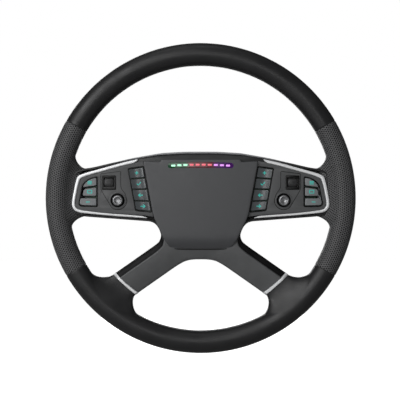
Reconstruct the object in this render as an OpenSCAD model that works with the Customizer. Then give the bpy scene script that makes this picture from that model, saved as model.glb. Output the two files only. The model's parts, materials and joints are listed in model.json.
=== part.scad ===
// Truck-style racing wheel with a quick-release socket, button panels, rollers and thumb sticks.
// The wheel faces -Y and its axis is the Y axis. The origin is the centre of the socket's mouth.
// Names ending in _fwd are distances forward of the mouth, so a face at x_fwd lies at y = -x_fwd.
// Outlines are drawn as [x, z] points and run clockwise as the driver sees them.

/* [Rim] */
// Outside diameter of the rim
rim_d = 400; // [390:1:480]
// Thickness of the grip across its leather
grip_d = 29.6; // [27:0.1:33]
// Distance of the rim's middle plane forward of the socket's mouth
rim_fwd = 84; // [82:0.5:88]
// Half of the angle that each perforated side grip covers
side_grip_angle = 30; // [24:1:40]
// Thickness of the leather wrap
leather_t = 1.4; // [0.8:0.1:2]
// Diameter of the metal ring inside the foam
ring_rod_d = 12; // [8:0.5:14]

/* [Hub and upper spokes] */
// Height of the hub's top edge above the axis
hub_top = 60; // [56:0.5:72]
// Depth of the hub's bottom edge below the axis
hub_bottom = 68; // [66:0.5:76]
// Height of the upper spokes' top edge where they meet the rim
spoke_top = 38.4; // [36:0.1:48]
// Depth of the upper spokes' bottom edge below the axis where they meet the rim
spoke_bottom = 24; // [22:0.5:30]
// Wall thickness of the housing
wall_t = 2.5; // [1.5:0.1:3]
// Position of the housing's back face
housing_back_fwd = 50.5; // [48:0.5:52]
// Position of the front face of the button panels
face_fwd = 86; // [85:0.5:92]
// Height of the hub pad above the button panels
pad_rise = 6; // [3:0.5:10]
// Half width of the hub pad at the height of the axis
pad_half_w = 65.4; // [62:0.1:65.4]
// Width of the bright trim strips
trim_w = 3.5; // [2:0.1:5]

/* [Lower spokes] */
// Angle of the lower spokes below the horizontal
lower_angle = 35; // [33:0.5:38]
// Width of the lower spokes
lower_w = 38; // [32:0.5:42]
// Depth below the axis at which the lower spokes' middle lines meet
lower_drop = 42.8; // [40:0.1:46]
// Radius at which the leather of the rim ends on the lower spokes
boot_r = 150.5; // [145:0.5:155]
// Width of the bright strip at the end of each lower spoke
spoke_trim_w = 3; // [2:0.1:4]

/* [Armature] */
// Thickness of the armature's hub plate
plate_t = 8; // [6:0.5:8]
// Width of the upper arms
upper_arm_w = 24; // [16:1:26]
// Width of the lower arms
lower_arm_w = 20; // [14:1:24]

/* [Controls] */
// Travel of every push button
button_travel = 1.2; // [0.6:0.1:1.4]
// Height of the button caps above the panel
button_rise = 2.2; // [1:0.1:4]
// Gap between a button and the edge of its opening
button_gap = 0.4; // [0.3:0.05:0.6]
// Diameter of the thumb rollers
roller_d = 15.6; // [14:0.1:16.5]
// Width of the thumb rollers
roller_w = 12; // [9:0.1:14]
// Diameter of the thumb stick caps
stick_cap_d = 13.6; // [10:0.1:16]
// Travel of the thumb stick's press switch
stick_travel = 0.6; // [0.3:0.1:0.7]

/* [Quick release] */
// Radius of the socket's pilot bore
pilot_r = 20; // [19:0.1:20.5]
// Length of the pilot bore
pilot_l = 12; // [10:0.5:13]
// Radius of the deeper bore that takes the locking nose
nose_r = 17; // [16:0.1:17.4]
// Outside radius of the socket's tube
tube_r = 24; // [23.5:0.1:24.5]
// Radius of the lock balls
ball_r = 5; // [4.6:0.1:5]
// Travel of the release collar
collar_travel = 6; // [4:0.5:6.5]
// Distance that the lock balls move out over the collar's travel
ball_lift = 1.5; // [1:0.1:1.6]
// Pitch circle diameter of the socket's bolts
bolt_pcd = 56; // [54:0.5:58]
// Radius of the socket's bolts
bolt_r = 2.5; // [2:0.1:2.6]

/* [Hidden] */
$fn = 64;

// Clearances
fit = 0.15;
loose_fit = 0.3;
pin_fit = 0.03;
past = 1;

// Rim
ring_r = (rim_d - grip_d) / 2;
grip_r = grip_d / 2;
rim_in_r = ring_r - grip_r;
foam_r = grip_r - leather_t - fit;
rod_r = ring_rod_d / 2;

// Levels of the hub, forward of the mouth
plate_back_fwd = 53;
plate_front_fwd = plate_back_fwd + plate_t;
flange_t = 6;
flange_back_fwd = plate_back_fwd - flange_t;
panel_t = 3;
panel_base_t = 1.5;
panel_back_fwd = face_fwd - panel_t;
rim_edge_fwd = face_fwd - 0.5;
pad_front_fwd = face_fwd + pad_rise;
pad_t = 3;
trim_rise = 2;
main_board_fwd = plate_front_fwd + 5;
board_t = 1.6;
switch_board_fwd = panel_back_fwd - 10;
switch_front_fwd = switch_board_fwd + 1.2;

// Hub outline
end_r = rim_in_r - loose_fit;
spoke_top_angle = asin(spoke_top / end_r);
spoke_bottom_angle = asin(spoke_bottom / end_r);
hub_half = concat(
    [[51, hub_top - 2], [89, hub_top - 8.6]],
    arc(end_r, spoke_top_angle, -spoke_bottom_angle, 6),
    [[62, -30.5], [56.5, -36], [52, -45], [47.5, -55], [43.5, 6 - hub_bottom], [36, -hub_bottom]]
);
hub_outline = both_sides(hub_half);

// Hub pad outline: its sides slant, and stay just inside the button columns
slant = 0.184;
pad_side_bottom = -24;
pad_half = [
    [51, hub_top - 2], [pad_side_x(hub_top - 6.4), hub_top - 6.4],
    [pad_side_x(pad_side_bottom), pad_side_bottom], [50, -46], [46.6, -54],
    [43, 8 - hub_bottom], [39.5, 3.5 - hub_bottom], [34.5, 0.7 - hub_bottom]
];
pad_outline = both_sides(pad_half);

// Outer edge of the right bright trim, which wraps around the end of the upper spoke
trim_tip = 7;
trim_end_x = end_r - wall_t - 1.3;
trim_top_in = 0.96 * hub_top - wall_t - 4.9;
trim_bottom_in = wall_t - 28.8;
trim_outline = [
    [pad_side_x(trim_top_in) + trim_tip, trim_top_in], [100, top_edge_z(100) - wall_t - 1],
    [trim_end_x - 16, spoke_top - wall_t - 3.9], [trim_end_x - 9.3, spoke_top - wall_t - 6.5],
    [trim_end_x - 6.3, 25], [trim_end_x - 2.8, 9], [trim_end_x, -8], [trim_end_x - 1.3, -13],
    [trim_end_x - 6, wall_t + 3 - spoke_bottom], [trim_end_x - 46, wall_t - 1 - spoke_bottom],
    [pad_side_x(trim_bottom_in) + trim_tip, trim_bottom_in]
];

// Button columns beside the pad: each row edge is [z at the outer side, z at the inner side]
column_x = pad_half_w + 1.5;
column_w = 19.3;
column_rows = [[37.5, 40.3], [24.5, 26], [11, 11.5], [-3.5, -4], [-15.5, -17.5]];
row_gap = 1.1;

// Outer button clusters, placed from the end of the upper spoke
cluster_x = end_r - 36.1;
cluster_buttons = [
    [[0, 26.5], [7, 25], [13, 21.5], [17, 17], [17.8, 13], [15, 14], [0, 16]],
    [[0, 14], [15, 12], [17.5, 9.5], [17.8, 2.5], [0, 2.5]],
    [[0, 0], [21, 0], [22.5, -7], [20, -9.5], [0, -10]]
];
cluster_centres = [[8, 20.5], [8.5, 7.6], [10, -4.8]];
cluster_opening = [
    [0, 26.5], [7, 25], [13, 21.5], [17.2, 17], [21, 0], [22.5, -7], [20, -9.5], [0, -10]
];
cap_back_fwd = panel_back_fwd - 3.5;
tab_reach = 1.2;
tab_half_h = 2.5;
tab_t = 1.9;
tab_gap = 0.1;

// Thumb rollers
roller_pos = [118.3, 20];
roller_r = roller_d / 2;
roller_fwd = face_fwd - 6;
stub_r = 1.5;
cheek_t = 2;
cheek_h = 14;
cheek_gap = 0.6;
bracket_front_fwd = panel_back_fwd - 0.2;

// Thumb sticks
stick_pos = [107, -3];
pivot_fwd = face_fwd - 7.5;
base_half = 11.5;
well_r = 8.5;
cavity_r = 9.2;
gimbal_r = 8;
gimbal_in_r = 5.6;
gimbal_t = 2.6;
pivot_pin_r = 1;
lever_r = 1.8;
dome_r = 6.9;
stick_cap_r = stick_cap_d / 2;
stick_cap_back_fwd = face_fwd + 2;
stick_cap_front_fwd = stick_cap_back_fwd + 3.4;
lever_top_fwd = stick_cap_back_fwd + 0.7;

// Quick release
pin_well_fwd = 38;
flange_r = 33;
block_r = 12;
collar_back_fwd = 3;
collar_front_fwd = flange_back_fwd - collar_travel - 1;
collar_r = 31.5;
collar_lip_r = 35;
pocket_r = tube_r + 4.2;
pocket_fwd = collar_front_fwd - 9;
ball_fwd = 20;
ball_poke = 1.5;
ball_centre_r = nose_r + ball_r - ball_poke;
ramp = ball_lift / collar_travel;
ramp_at_ball = ball_centre_r + ball_r * sqrt(1 + ramp * ramp) + 0.05;
land_r = tube_r + 0.06;
ring_out_r = 30;
groove_depth = 1.2;
ball_angles = [90, 210, 330];
bolt_count = 6;
bolt_head_r = 4.2;
bolt_head_h = 4;

// Screw places: through the housing's back, at the main board and at the switch boards
back_screws = [[42, 26], [-42, 26], [30, -46], [-30, -46]];
board_screws = [[34, 22], [-34, 22], [34, -26], [-34, -26]];
switch_screws = [[90, -18], [cluster_x + 12, -14], [101, 36], [cluster_x - 1, 27]];
screw_r = 1.5;
screw_head_r = 2.5;
screw_head_h = 1.4;
boss_r = 3;

// Lower spokes
lower_back_fwd = 64;
lower_split_fwd = 76;
lower_front_fwd = face_fwd;
lower_wall = 2.2;
cover_end_r = boot_r - spoke_trim_w - 2 * fit;
lower_half = concat(
    [[36.2, -hub_bottom - 0.4], [44, 5.7 - hub_bottom], [48, -55], [52.3, -46.5], [53.2, -54.5]],
    [spoke_point(60, lower_w / 2), spoke_end(cover_end_r, lower_w / 2)],
    [spoke_end(cover_end_r, -lower_w / 2), spoke_point(50, -lower_w / 2)],
    [[20, -hub_bottom - 13.4], [10, -hub_bottom - 11.4]]
);
lower_outline = both_sides(lower_half);
boot_spread_up = 11.8;
boot_spread_down = 15.8;
boot_axis_angle = 45.9;
boot_back_fwd = rim_fwd - 10;
boot_front_fwd = rim_fwd + 9;

// Arms as side profiles: [distance along the arm, -forward]
plate_half = [[55, 34], [55, -22], [40, -56]];
upper_arm_z = 7;
bend_x = end_r - 22;
upper_arm = [
    [30, -plate_back_fwd], [bend_x, -plate_back_fwd - 6], [ring_r - 1.2, 4 - rim_fwd],
    [ring_r - 1.2, -rim_fwd - 4], [ring_r - 9, -rim_fwd - 4], [bend_x - 2, -plate_front_fwd - 5.5],
    [36, -plate_front_fwd], [30, -plate_front_fwd]
];
lower_reach = -lower_drop * sin(lower_angle) + sqrt(pow(ring_r, 2) - pow(lower_drop * cos(lower_angle), 2));
lower_arm = [
    [15, -plate_back_fwd], [45, -plate_back_fwd - 14], [lower_reach - 1.2, 4.5 - rim_fwd],
    [lower_reach - 1.2, -rim_fwd - 4], [lower_reach - 8, -rim_fwd - 4],
    [38, -plate_front_fwd - 12], [15, -plate_front_fwd]
];

// Rev lights
window_half_w = 42.5;
window_z = 42.2;
window_h = 7.6;
led_pitch = 7.8;
led_size = [6, 3];
led_front_fwd = pad_front_fwd - 2.7;
led_t = 2.6;

// ---- Functions ----
function arc(r, a, b, n) = [for (i = [0:n]) let (t = a + (b - a) * i / n) [r * cos(t), r * sin(t)]];
function both_sides(h) = concat(h, [for (i = [len(h) - 1:-1:0]) [-h[i][0], h[i][1]]]);
function unit(v) = v / norm(v);
function right_of(d) = [d[1], -d[0]];
function inset(p, t) = [
    for (i = [0:len(p) - 1])
        let (
            last = len(p),
            before = right_of(unit(p[i] - p[(i + last - 1) % last])),
            after = right_of(unit(p[(i + 1) % last] - p[i]))
        )
        p[i] + t * (before + after) / (1 + before * after)
];
function shifted(p, v) = [for (q = p) q + v];
function pad_side_x(z) = pad_half_w + slant * z;
function top_edge_z(x) =
    let (from = hub_half[1], to = hub_half[2])
    from[1] + (to[1] - from[1]) * (x - from[0]) / (to[0] - from[0]);
function column_point(z, across) = [column_x + across + slant * z, z];
function row_z(row, across) = row[1] + (row[0] - row[1]) * across / column_w;
function spoke_point(along, off) = [
    along * cos(lower_angle) + off * sin(lower_angle),
    -lower_drop - along * sin(lower_angle) + off * cos(lower_angle)
];
function spoke_end(r, off) =
    let (
        p = spoke_point(0, off),
        u = [cos(lower_angle), -sin(lower_angle)],
        along = -p * u + sqrt(r * r - p * p + pow(p * u, 2))
    )
    spoke_point(along, off);
function column_button(i) = [
    column_point(row_z(column_rows[i], 0) - row_gap / 2, 0),
    column_point(row_z(column_rows[i], column_w) - row_gap / 2, column_w),
    column_point(row_z(column_rows[i + 1], column_w) + row_gap / 2, column_w),
    column_point(row_z(column_rows[i + 1], 0) + row_gap / 2, 0)
];
function centre(p) = [for (k = [0:1]) (max([for (q = p) q[k]]) + min([for (q = p) q[k]])) / 2];
function right_switches() = concat(
    [for (c = cluster_centres) c + [cluster_x, 0]],
    [for (i = [0:3]) centre(column_button(i))]
);

// ---- Helpers ----
// Turns an [x, z] outline into a solid between two distances forward of the mouth
module slab(from, to) {
    translate([0, -from, 0]) rotate([90, 0, 0]) linear_extrude(height = to - from) children();
}

module post(at, r, from, to) {
    translate([at[0], -from, at[1]]) rotate([90, 0, 0]) cylinder(r = r, h = to - from);
}

module block(x, z, from, to) {
    translate([x[0], -to, z[0]]) cube([x[1] - x[0], to - from, z[1] - z[0]]);
}

module side(s) {
    if (s < 0) mirror([1, 0, 0]) children();
    else children();
}

module both() {
    children();
    mirror([1, 0, 0]) children();
}

// Part of the rim's tube, from angle a over a sweep
module tube(r, a = 0, sweep = 360) {
    translate([0, -rim_fwd, 0]) rotate([90, 0, 0]) rotate([0, 0, a])
        rotate_extrude(angle = sweep, $fn = 128) translate([ring_r, 0]) circle(r = r);
}

module bar(profile, width, grow) {
    translate([0, 0, -width / 2 - grow]) linear_extrude(height = width + 2 * grow)
        polygon(inset(profile, -grow));
}

module upper_arms(grow = 0) {
    both() translate([0, 0, upper_arm_z]) bar(upper_arm, upper_arm_w, grow);
}

module lower_arms(grow = 0) {
    both() translate([0, 0, -lower_drop]) rotate([0, lower_angle, 0])
        bar(lower_arm, lower_arm_w, grow);
}

module around_axis(count, start, r) {
    for (i = [0:count - 1]) rotate([0, start + i * 360 / count, 0]) translate([r, 0, 0]) children();
}

// ---- Structure ----
module armature() {
    color("silver") difference() {
        union() {
            slab(plate_back_fwd, plate_front_fwd) polygon(both_sides(plate_half));
            upper_arms();
            lower_arms();
            tube(rod_r);
            for (p = board_screws) post(p, boss_r, plate_front_fwd - past, main_board_fwd);
        }
        post([0, 0], block_r - 2, plate_back_fwd - past, plate_front_fwd + past);
        around_axis(bolt_count, 0, bolt_pcd / 2)
            post([0, 0], bolt_r + pin_fit, plate_back_fwd - past, plate_front_fwd + past);
        for (p = back_screws) post(p, screw_r + pin_fit, plate_back_fwd - past, plate_front_fwd + past);
        for (p = board_screws) post(p, screw_r + pin_fit, plate_front_fwd + 1, main_board_fwd + past);
    }
}

module rim_foam() {
    color("dimgray") difference() {
        tube(foam_r);
        tube(rod_r + fit);
        upper_arms(fit);
        lower_arms(fit);
    }
}

// Outline of the leather that runs from the rim onto the end of a lower spoke
module boot_outline() {
    polygon(concat(
        [spoke_end(boot_r, lower_w / 2), spoke_point(139.8, lower_w / 2 + 3.6)],
        arc(rim_in_r + 3, boot_spread_up - boot_axis_angle, -boot_axis_angle - boot_spread_down, 6),
        [spoke_point(125.5, -lower_w / 2 - 4.8), spoke_end(boot_r, -lower_w / 2)]
    ));
}

module leather(from, to) {
    color("#191919") difference() {
        tube(grip_r, from, to - from);
        tube(grip_r - leather_t);
        upper_arms(fit);
        lower_arms(fit);
    }
}

module leather_bottom() {
    color("#191919") difference() {
        union() {
            tube(grip_r, 180 + side_grip_angle, 180 - 2 * side_grip_angle);
            both() slab(boot_back_fwd, boot_front_fwd) boot_outline();
        }
        tube(grip_r - leather_t);
        lower_arms(fit);
    }
}

// Keeps what lies forward of the housing's sloping back, moved in by t
module forward_of_back(t) {
    far = end_r + 4;
    translate([0, 0, -100]) linear_extrude(height = 200) polygon([
        [-far, -housing_back_fwd - 17.5 - t], [-bend_x, -housing_back_fwd - 4.5 - t],
        [-70, -housing_back_fwd - t], [70, -housing_back_fwd - t],
        [bend_x, -housing_back_fwd - 4.5 - t], [far, -housing_back_fwd - 17.5 - t],
        [far, -face_fwd - 20], [-far, -face_fwd - 20]
    ]);
}

// The housing's outline moved in by t, with a back wall that leaves the armature's plate free
module housing_space(t, front) {
    back_t = min(t, plate_back_fwd - housing_back_fwd);
    intersection() {
        slab(housing_back_fwd + back_t, front) polygon(inset(hub_outline, t));
        forward_of_back(back_t);
    }
}

// The space beside the pad, where the button panel lies
module panel_side() {
    slab(housing_back_fwd - past, face_fwd + past) polygon([
        [pad_side_x(80) + loose_fit, 80], [end_r + past, 80],
        [end_r + past, -27.6], [pad_side_x(-27.6) + loose_fit, -27.6]
    ]);
}

module rear_housing() {
    color("#202020") difference() {
        union() {
            difference() {
                union() {
                    housing_space(0, panel_back_fwd);
                    intersection() {
                        housing_space(0, rim_edge_fwd);
                        both() panel_side();
                    }
                }
                housing_space(wall_t, face_fwd + past);
            }
            intersection() {
                both() for (p = switch_screws) post(p, boss_r, housing_back_fwd, switch_board_fwd);
                forward_of_back(wall_t / 2);
            }
        }
        post([0, 0], flange_r + loose_fit, housing_back_fwd - past, plate_back_fwd + past);
        for (p = back_screws) post(p, screw_r + fit, housing_back_fwd - past, plate_back_fwd + past);
        both() for (p = switch_screws)
            post(p, screw_r + pin_fit, switch_board_fwd - 6, switch_board_fwd + past);
        upper_arms(loose_fit);
        lower_arms(loose_fit);
    }
}

module window_shape(grow) {
    hull() for (s = [-1, 1])
        translate([s * (window_half_w - window_h / 2), window_z]) circle(d = window_h + 2 * grow, $fn = 32);
}

module hub_pad() {
    color("#4b4c4e") difference() {
        union() {
            difference() {
                slab(panel_back_fwd, pad_front_fwd) polygon(pad_outline);
                slab(panel_back_fwd - past, pad_front_fwd - pad_t) polygon(inset(pad_outline, pad_t));
            }
            both() block([41.6, 43.6], [37, 47], led_front_fwd - led_t - board_t, pad_front_fwd - pad_t + fit);
        }
        slab(panel_back_fwd - past, pad_front_fwd + past) window_shape(0);
    }
}

module rev_light_window() {
    color("#101010") slab(pad_front_fwd - 2.5, pad_front_fwd - 0.3) window_shape(-fit);
}

module rev_lights(first, last) {
    for (i = [first:last]) {
        x = (i - 4.5) * led_pitch;
        z = window_z + 0.6 - pow(x / 35, 2) * 1.1;
        block([x - led_size[0] / 2, x + led_size[0] / 2], [z - led_size[1] / 2, z + led_size[1] / 2],
            led_front_fwd - led_t, led_front_fwd);
    }
}

module rev_light_board() {
    back = led_front_fwd - led_t - board_t;
    color("darkgreen") block([-41, 41], [37, 47], back, back + board_t);
}

module button_panel(s) {
    color("#3c3d3f") side(s) difference() {
        union() {
            intersection() {
                slab(panel_back_fwd, panel_back_fwd + panel_base_t)
                    polygon(inset(hub_outline, wall_t + fit));
                panel_side();
            }
            intersection() {
                slab(panel_back_fwd, face_fwd) polygon(inset(trim_outline, trim_w + fit));
                panel_side();
            }
            intersection() {
                slab(panel_back_fwd, face_fwd) polygon([
                    [pad_side_x(48) + loose_fit, hub_top - 12.6],
                    [pad_side_x(48) + 14, hub_top - 16.6],
                    [pad_side_x(-23) + 14, -21.5], [pad_side_x(-23) + loose_fit, -23]
                ]);
                panel_side();
            }
        }
        slab(panel_back_fwd - past, face_fwd + past) {
            polygon(inset(shifted(cluster_opening, [cluster_x, 0]), -button_gap));
            polygon(inset(column_opening(), -button_gap));
            translate(roller_pos) square([roller_w + 0.8, 2 * roller_r - 0.2], center = true);
        }
        post(stick_pos, well_r, panel_back_fwd - past, face_fwd + past);
    }
}

function column_opening() =
    let (top = column_button(0), bottom = column_button(3))
    [top[0], top[1], bottom[2], bottom[3]];

module trim_strip(s) {
    inner = trim_outline[0][1] - trim_w - 1;
    outer = trim_outline[len(trim_outline) - 1][1] + trim_w + 0.3;
    color("gainsboro") side(s) slab(panel_back_fwd + panel_base_t, face_fwd + trim_rise)
        difference() {
            polygon(trim_outline);
            polygon(inset(trim_outline, trim_w));
            polygon([
                [pad_side_x(inner) + trim_tip - past, inner],
                [pad_side_x(inner) + trim_tip + 2 * trim_w, inner],
                [pad_side_x(outer) + trim_tip + 2 * trim_w, outer],
                [pad_side_x(outer) + trim_tip - past, outer]
            ]);
        }
}

// ---- Lower spokes ----
module lower_cover_front() {
    color("#333333") difference() {
        slab(lower_split_fwd, lower_front_fwd) polygon(lower_outline);
        slab(lower_split_fwd - past, lower_front_fwd - lower_wall)
            polygon(inset(lower_outline, lower_wall));
        lower_arms(loose_fit);
    }
}

module lower_cover_back() {
    color("#1c1c1c") difference() {
        slab(lower_back_fwd, lower_split_fwd) polygon(lower_outline);
        slab(lower_back_fwd + lower_wall, lower_split_fwd + past)
            polygon(inset(lower_outline, lower_wall));
        lower_arms(loose_fit);
    }
}

module spoke_trim(s) {
    in_r = cover_end_r + fit;
    out_r = boot_r - fit;
    color("gainsboro") side(s) slab(lower_front_fwd - 0.8, lower_front_fwd + 2) polygon([
        spoke_end(in_r, lower_w / 2), spoke_end(out_r, lower_w / 2),
        spoke_end(out_r, -lower_w / 2), spoke_end(in_r, -lower_w / 2)
    ]);
}

// ---- Electronics ----
module main_board() {
    color("darkgreen") difference() {
        union() {
            block([-42, 42], [-34, 32], main_board_fwd, main_board_fwd + board_t);
            block([-9, 9], [-8, 10], main_board_fwd, main_board_fwd + board_t + 1.4);
            block([-30, -18], [12, 20], main_board_fwd, main_board_fwd + board_t + 5);
            block([18, 30], [12, 20], main_board_fwd, main_board_fwd + board_t + 5);
        }
        for (p = board_screws) post(p, screw_r + fit, main_board_fwd - past, main_board_fwd + 3);
    }
}

module switch_board(s) {
    body_half = 3;
    color("darkgreen") side(s) difference() {
        union() {
            slab(switch_board_fwd, switch_front_fwd) polygon([
                [pad_side_x(44) + 2, 44], [100, 40], [cluster_x + 3, 31],
                [cluster_x + 16, 24], [cluster_x + 16, -18],
                [120, -20.5], [pad_side_x(-20) + 2, -20]
            ]);
            for (p = right_switches()) {
                block([p[0] - body_half, p[0] + body_half], [p[1] - body_half, p[1] + body_half],
                    switch_board_fwd, switch_front_fwd + 3);
                post(p, 1.7, switch_front_fwd, cap_back_fwd - button_travel - tab_gap);
            }
        }
        slab(switch_board_fwd - past, switch_front_fwd + past)
            translate(roller_pos) square([roller_w + 1, cheek_h - 0.6], center = true);
        for (p = switch_screws) post(p, screw_r + fit, switch_board_fwd - past, switch_front_fwd + past);
    }
}

// ---- Buttons ----
module cap(outline, middle) {
    color("#8a8c8e") {
        slab(cap_back_fwd, face_fwd + button_rise) polygon(outline);
        intersection() {
            slab(panel_back_fwd - tab_gap - tab_t, panel_back_fwd - tab_gap)
                polygon(inset(outline, -tab_reach));
            block([middle[0] - 40, middle[0] + 40], [middle[1] - tab_half_h, middle[1] + tab_half_h],
                0, face_fwd);
        }
    }
}

module outer_button(s, i) {
    side(s) cap(shifted(cluster_buttons[i], [cluster_x, 0]), cluster_centres[i]);
}

module inner_button(s, i) {
    side(s) cap(column_button(i), centre(column_button(i)));
}

// ---- Thumb rollers ----
module on_roller_axis() {
    translate([roller_pos[0], -roller_fwd, roller_pos[1]]) rotate([0, 90, 0]) children();
}

module roller(s) {
    stub_l = roller_w / 2 + cheek_gap + cheek_t - 0.3;
    color("#2a2a2a") side(s) on_roller_axis() {
        cylinder(r = roller_r, h = roller_w, center = true);
        cylinder(r = stub_r, h = 2 * stub_l, center = true);
    }
}

module roller_encoder(s) {
    inner = roller_w / 2 + cheek_gap;
    color("#303030") side(s) difference() {
        union() {
            for (x = [-inner - cheek_t, inner])
                block([roller_pos[0] + x, roller_pos[0] + x + cheek_t],
                    [roller_pos[1] - cheek_h / 2, roller_pos[1] + cheek_h / 2],
                    switch_front_fwd, bracket_front_fwd);
            block([roller_pos[0] + inner + cheek_t - 0.5, roller_pos[0] + inner + cheek_t + 4],
                [roller_pos[1] - 5, roller_pos[1] + 5], switch_front_fwd, bracket_front_fwd);
        }
        on_roller_axis() cylinder(r = stub_r + pin_fit, h = 2 * (inner + cheek_t), center = true);
    }
}

// ---- Thumb sticks ----
module at_pivot() {
    translate([stick_pos[0], -pivot_fwd, stick_pos[1]]) children();
}

module stick_base(s) {
    color("#262626") side(s) difference() {
        block([stick_pos[0] - base_half, stick_pos[0] + base_half],
            [stick_pos[1] - base_half, stick_pos[1] + base_half], switch_front_fwd, bracket_front_fwd);
        post(stick_pos, cavity_r, switch_front_fwd + 1, bracket_front_fwd + past);
        at_pivot() rotate([0, 90, 0])
            cylinder(r = pivot_pin_r + pin_fit, h = 2 * base_half - 1.4, center = true);
    }
}

module stick_gimbal(s) {
    color("silver") side(s) difference() {
        union() {
            post(stick_pos, gimbal_r, pivot_fwd - gimbal_t / 2, pivot_fwd + gimbal_t / 2);
            at_pivot() rotate([0, 90, 0]) cylinder(r = pivot_pin_r, h = 2 * base_half - 2, center = true);
        }
        post(stick_pos, gimbal_in_r, pivot_fwd - gimbal_t, pivot_fwd + gimbal_t);
        at_pivot() cylinder(r = pivot_pin_r + pin_fit, h = 2 * gimbal_r + past, center = true);
    }
}

module stick_lever(s) {
    color("#222222") side(s) {
        at_pivot() cylinder(r = pivot_pin_r, h = 2 * gimbal_r - 0.8, center = true);
        at_pivot() cylinder(r = lever_r + 0.4, h = 2 * gimbal_in_r - 1.4, center = true);
        post(stick_pos, lever_r, pivot_fwd, lever_top_fwd);
        intersection() {
            at_pivot() sphere(r = dome_r);
            post(stick_pos, dome_r, pivot_fwd + 3.5, face_fwd);
        }
    }
}

module stick_cap(s) {
    dish_r = 8;
    dish_depth = 0.9;
    color("#1c1c1c") side(s) difference() {
        union() {
            post(stick_pos, stick_cap_r, stick_cap_back_fwd, stick_cap_front_fwd);
            post(stick_pos, lever_r + 1.6, face_fwd + 0.2, stick_cap_back_fwd + past);
        }
        post(stick_pos, lever_r + pin_fit, face_fwd - past, lever_top_fwd + stick_travel + 0.1);
        translate([stick_pos[0], -stick_cap_front_fwd - dish_r + dish_depth, stick_pos[1]])
            sphere(r = dish_r);
    }
}

// ---- Quick release ----
// Spins a [radius, forward] profile about the wheel's axis
module turned(points) {
    rotate([90, 0, 0]) rotate_extrude($fn = 96) polygon(points);
}

module socket_body() {
    color("gray") difference() {
        turned([
            [pilot_r, 0], [tube_r, 0], [tube_r, 1], [tube_r - groove_depth, 1],
            [tube_r - groove_depth, collar_back_fwd], [tube_r, collar_back_fwd],
            [tube_r, flange_back_fwd], [flange_r, flange_back_fwd], [flange_r, plate_back_fwd],
            [block_r + fit, plate_back_fwd], [block_r + fit, pin_well_fwd], [nose_r, pin_well_fwd],
            [nose_r, pilot_l], [pilot_r, pilot_l]
        ]);
        for (a = ball_angles) rotate([0, a, 0]) translate([ball_centre_r, -ball_fwd, 0]) {
            sphere(r = ball_r + pin_fit);
            rotate([0, 90, 0]) cylinder(r = ball_r + pin_fit, h = ball_r + 4);
        }
        around_axis(bolt_count, 0, bolt_pcd / 2)
            post([0, 0], bolt_r + pin_fit, plate_back_fwd - flange_t + 1.5, plate_back_fwd + past);
    }
}

module lock_ball(i) {
    color("lightsteelblue") rotate([0, ball_angles[i], 0]) translate([ball_centre_r, -ball_fwd, 0])
        sphere(r = ball_r);
}

module release_collar() {
    ramp_start = ball_fwd + (ramp_at_ball - land_r) / ramp;
    ramp_end = collar_back_fwd + 1.5;
    ramp_end_r = ramp_at_ball + ramp * (ball_fwd - ramp_end);
    color("#303030") turned([
        [ramp_end_r, collar_back_fwd], [collar_lip_r, collar_back_fwd], [collar_lip_r, 10],
        [collar_r, 12], [collar_r, collar_front_fwd], [pocket_r, collar_front_fwd],
        [pocket_r, pocket_fwd], [land_r, pocket_fwd], [land_r, ramp_start], [ramp_end_r, ramp_end]
    ]);
}

module retaining_ring() {
    color("silver") turned([
        [tube_r - groove_depth + 0.05, 1.1], [ring_out_r, 1.1],
        [ring_out_r, collar_back_fwd - 0.1], [tube_r - groove_depth + 0.05, collar_back_fwd - 0.1]
    ]);
}

// A helix swept with an eight-sided wire
module collar_spring() {
    wire_r = 0.7;
    coil_r = (tube_r + pocket_r) / 2;
    turns = 5;
    steps = 20;
    sides = 8;
    rings = turns * steps;
    start = pocket_fwd + wire_r + 0.1;
    rise = flange_back_fwd - pocket_fwd - 2 * wire_r - 0.2;
    points = [
        for (i = [0:rings], k = [0:sides - 1])
            let (
                turn = 360 * i / steps,
                r = coil_r + wire_r * cos(360 * k / sides),
                f = start + rise * i / rings + wire_r * sin(360 * k / sides)
            )
            [r * cos(turn), -f, r * sin(turn)]
    ];
    walls = [
        for (i = [0:rings - 1], k = [0:sides - 1])
            let (a = i * sides + k, b = i * sides + (k + 1) % sides)
            [a, b, b + sides, a + sides]
    ];
    ends = [[for (k = [sides - 1:-1:0]) k], [for (k = [0:sides - 1]) rings * sides + k]];
    color("silver") polyhedron(points = points, faces = concat(walls, ends), convexity = 10);
}

module contact_block() {
    color("goldenrod") {
        post([0, 0], block_r, pin_well_fwd + 2, plate_back_fwd);
        around_axis(8, 0, 7) post([0, 0], 0.9, pin_well_fwd - 0.5, pin_well_fwd + 3);
    }
}

// ---- Fasteners ----
module socket_bolts() {
    color("dimgray") around_axis(bolt_count, 0, bolt_pcd / 2) {
        post([0, 0], bolt_r, plate_back_fwd - 4, plate_front_fwd + past);
        post([0, 0], bolt_head_r, plate_front_fwd, plate_front_fwd + bolt_head_h);
    }
}

module small_screws() {
    color("dimgray") {
        for (p = back_screws) {
            post(p, screw_r, housing_back_fwd - past, plate_front_fwd - past);
            post(p, screw_head_r, housing_back_fwd - screw_head_h, housing_back_fwd);
        }
        for (p = board_screws) {
            post(p, screw_r, plate_front_fwd + 2, main_board_fwd + board_t + 1);
            post(p, screw_head_r, main_board_fwd + board_t, main_board_fwd + board_t + screw_head_h);
        }
        both() for (p = switch_screws) {
            post(p, screw_r, switch_board_fwd - 5, switch_front_fwd + 1);
            post(p, screw_head_r, switch_front_fwd, switch_front_fwd + screw_head_h);
        }
    }
}

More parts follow.
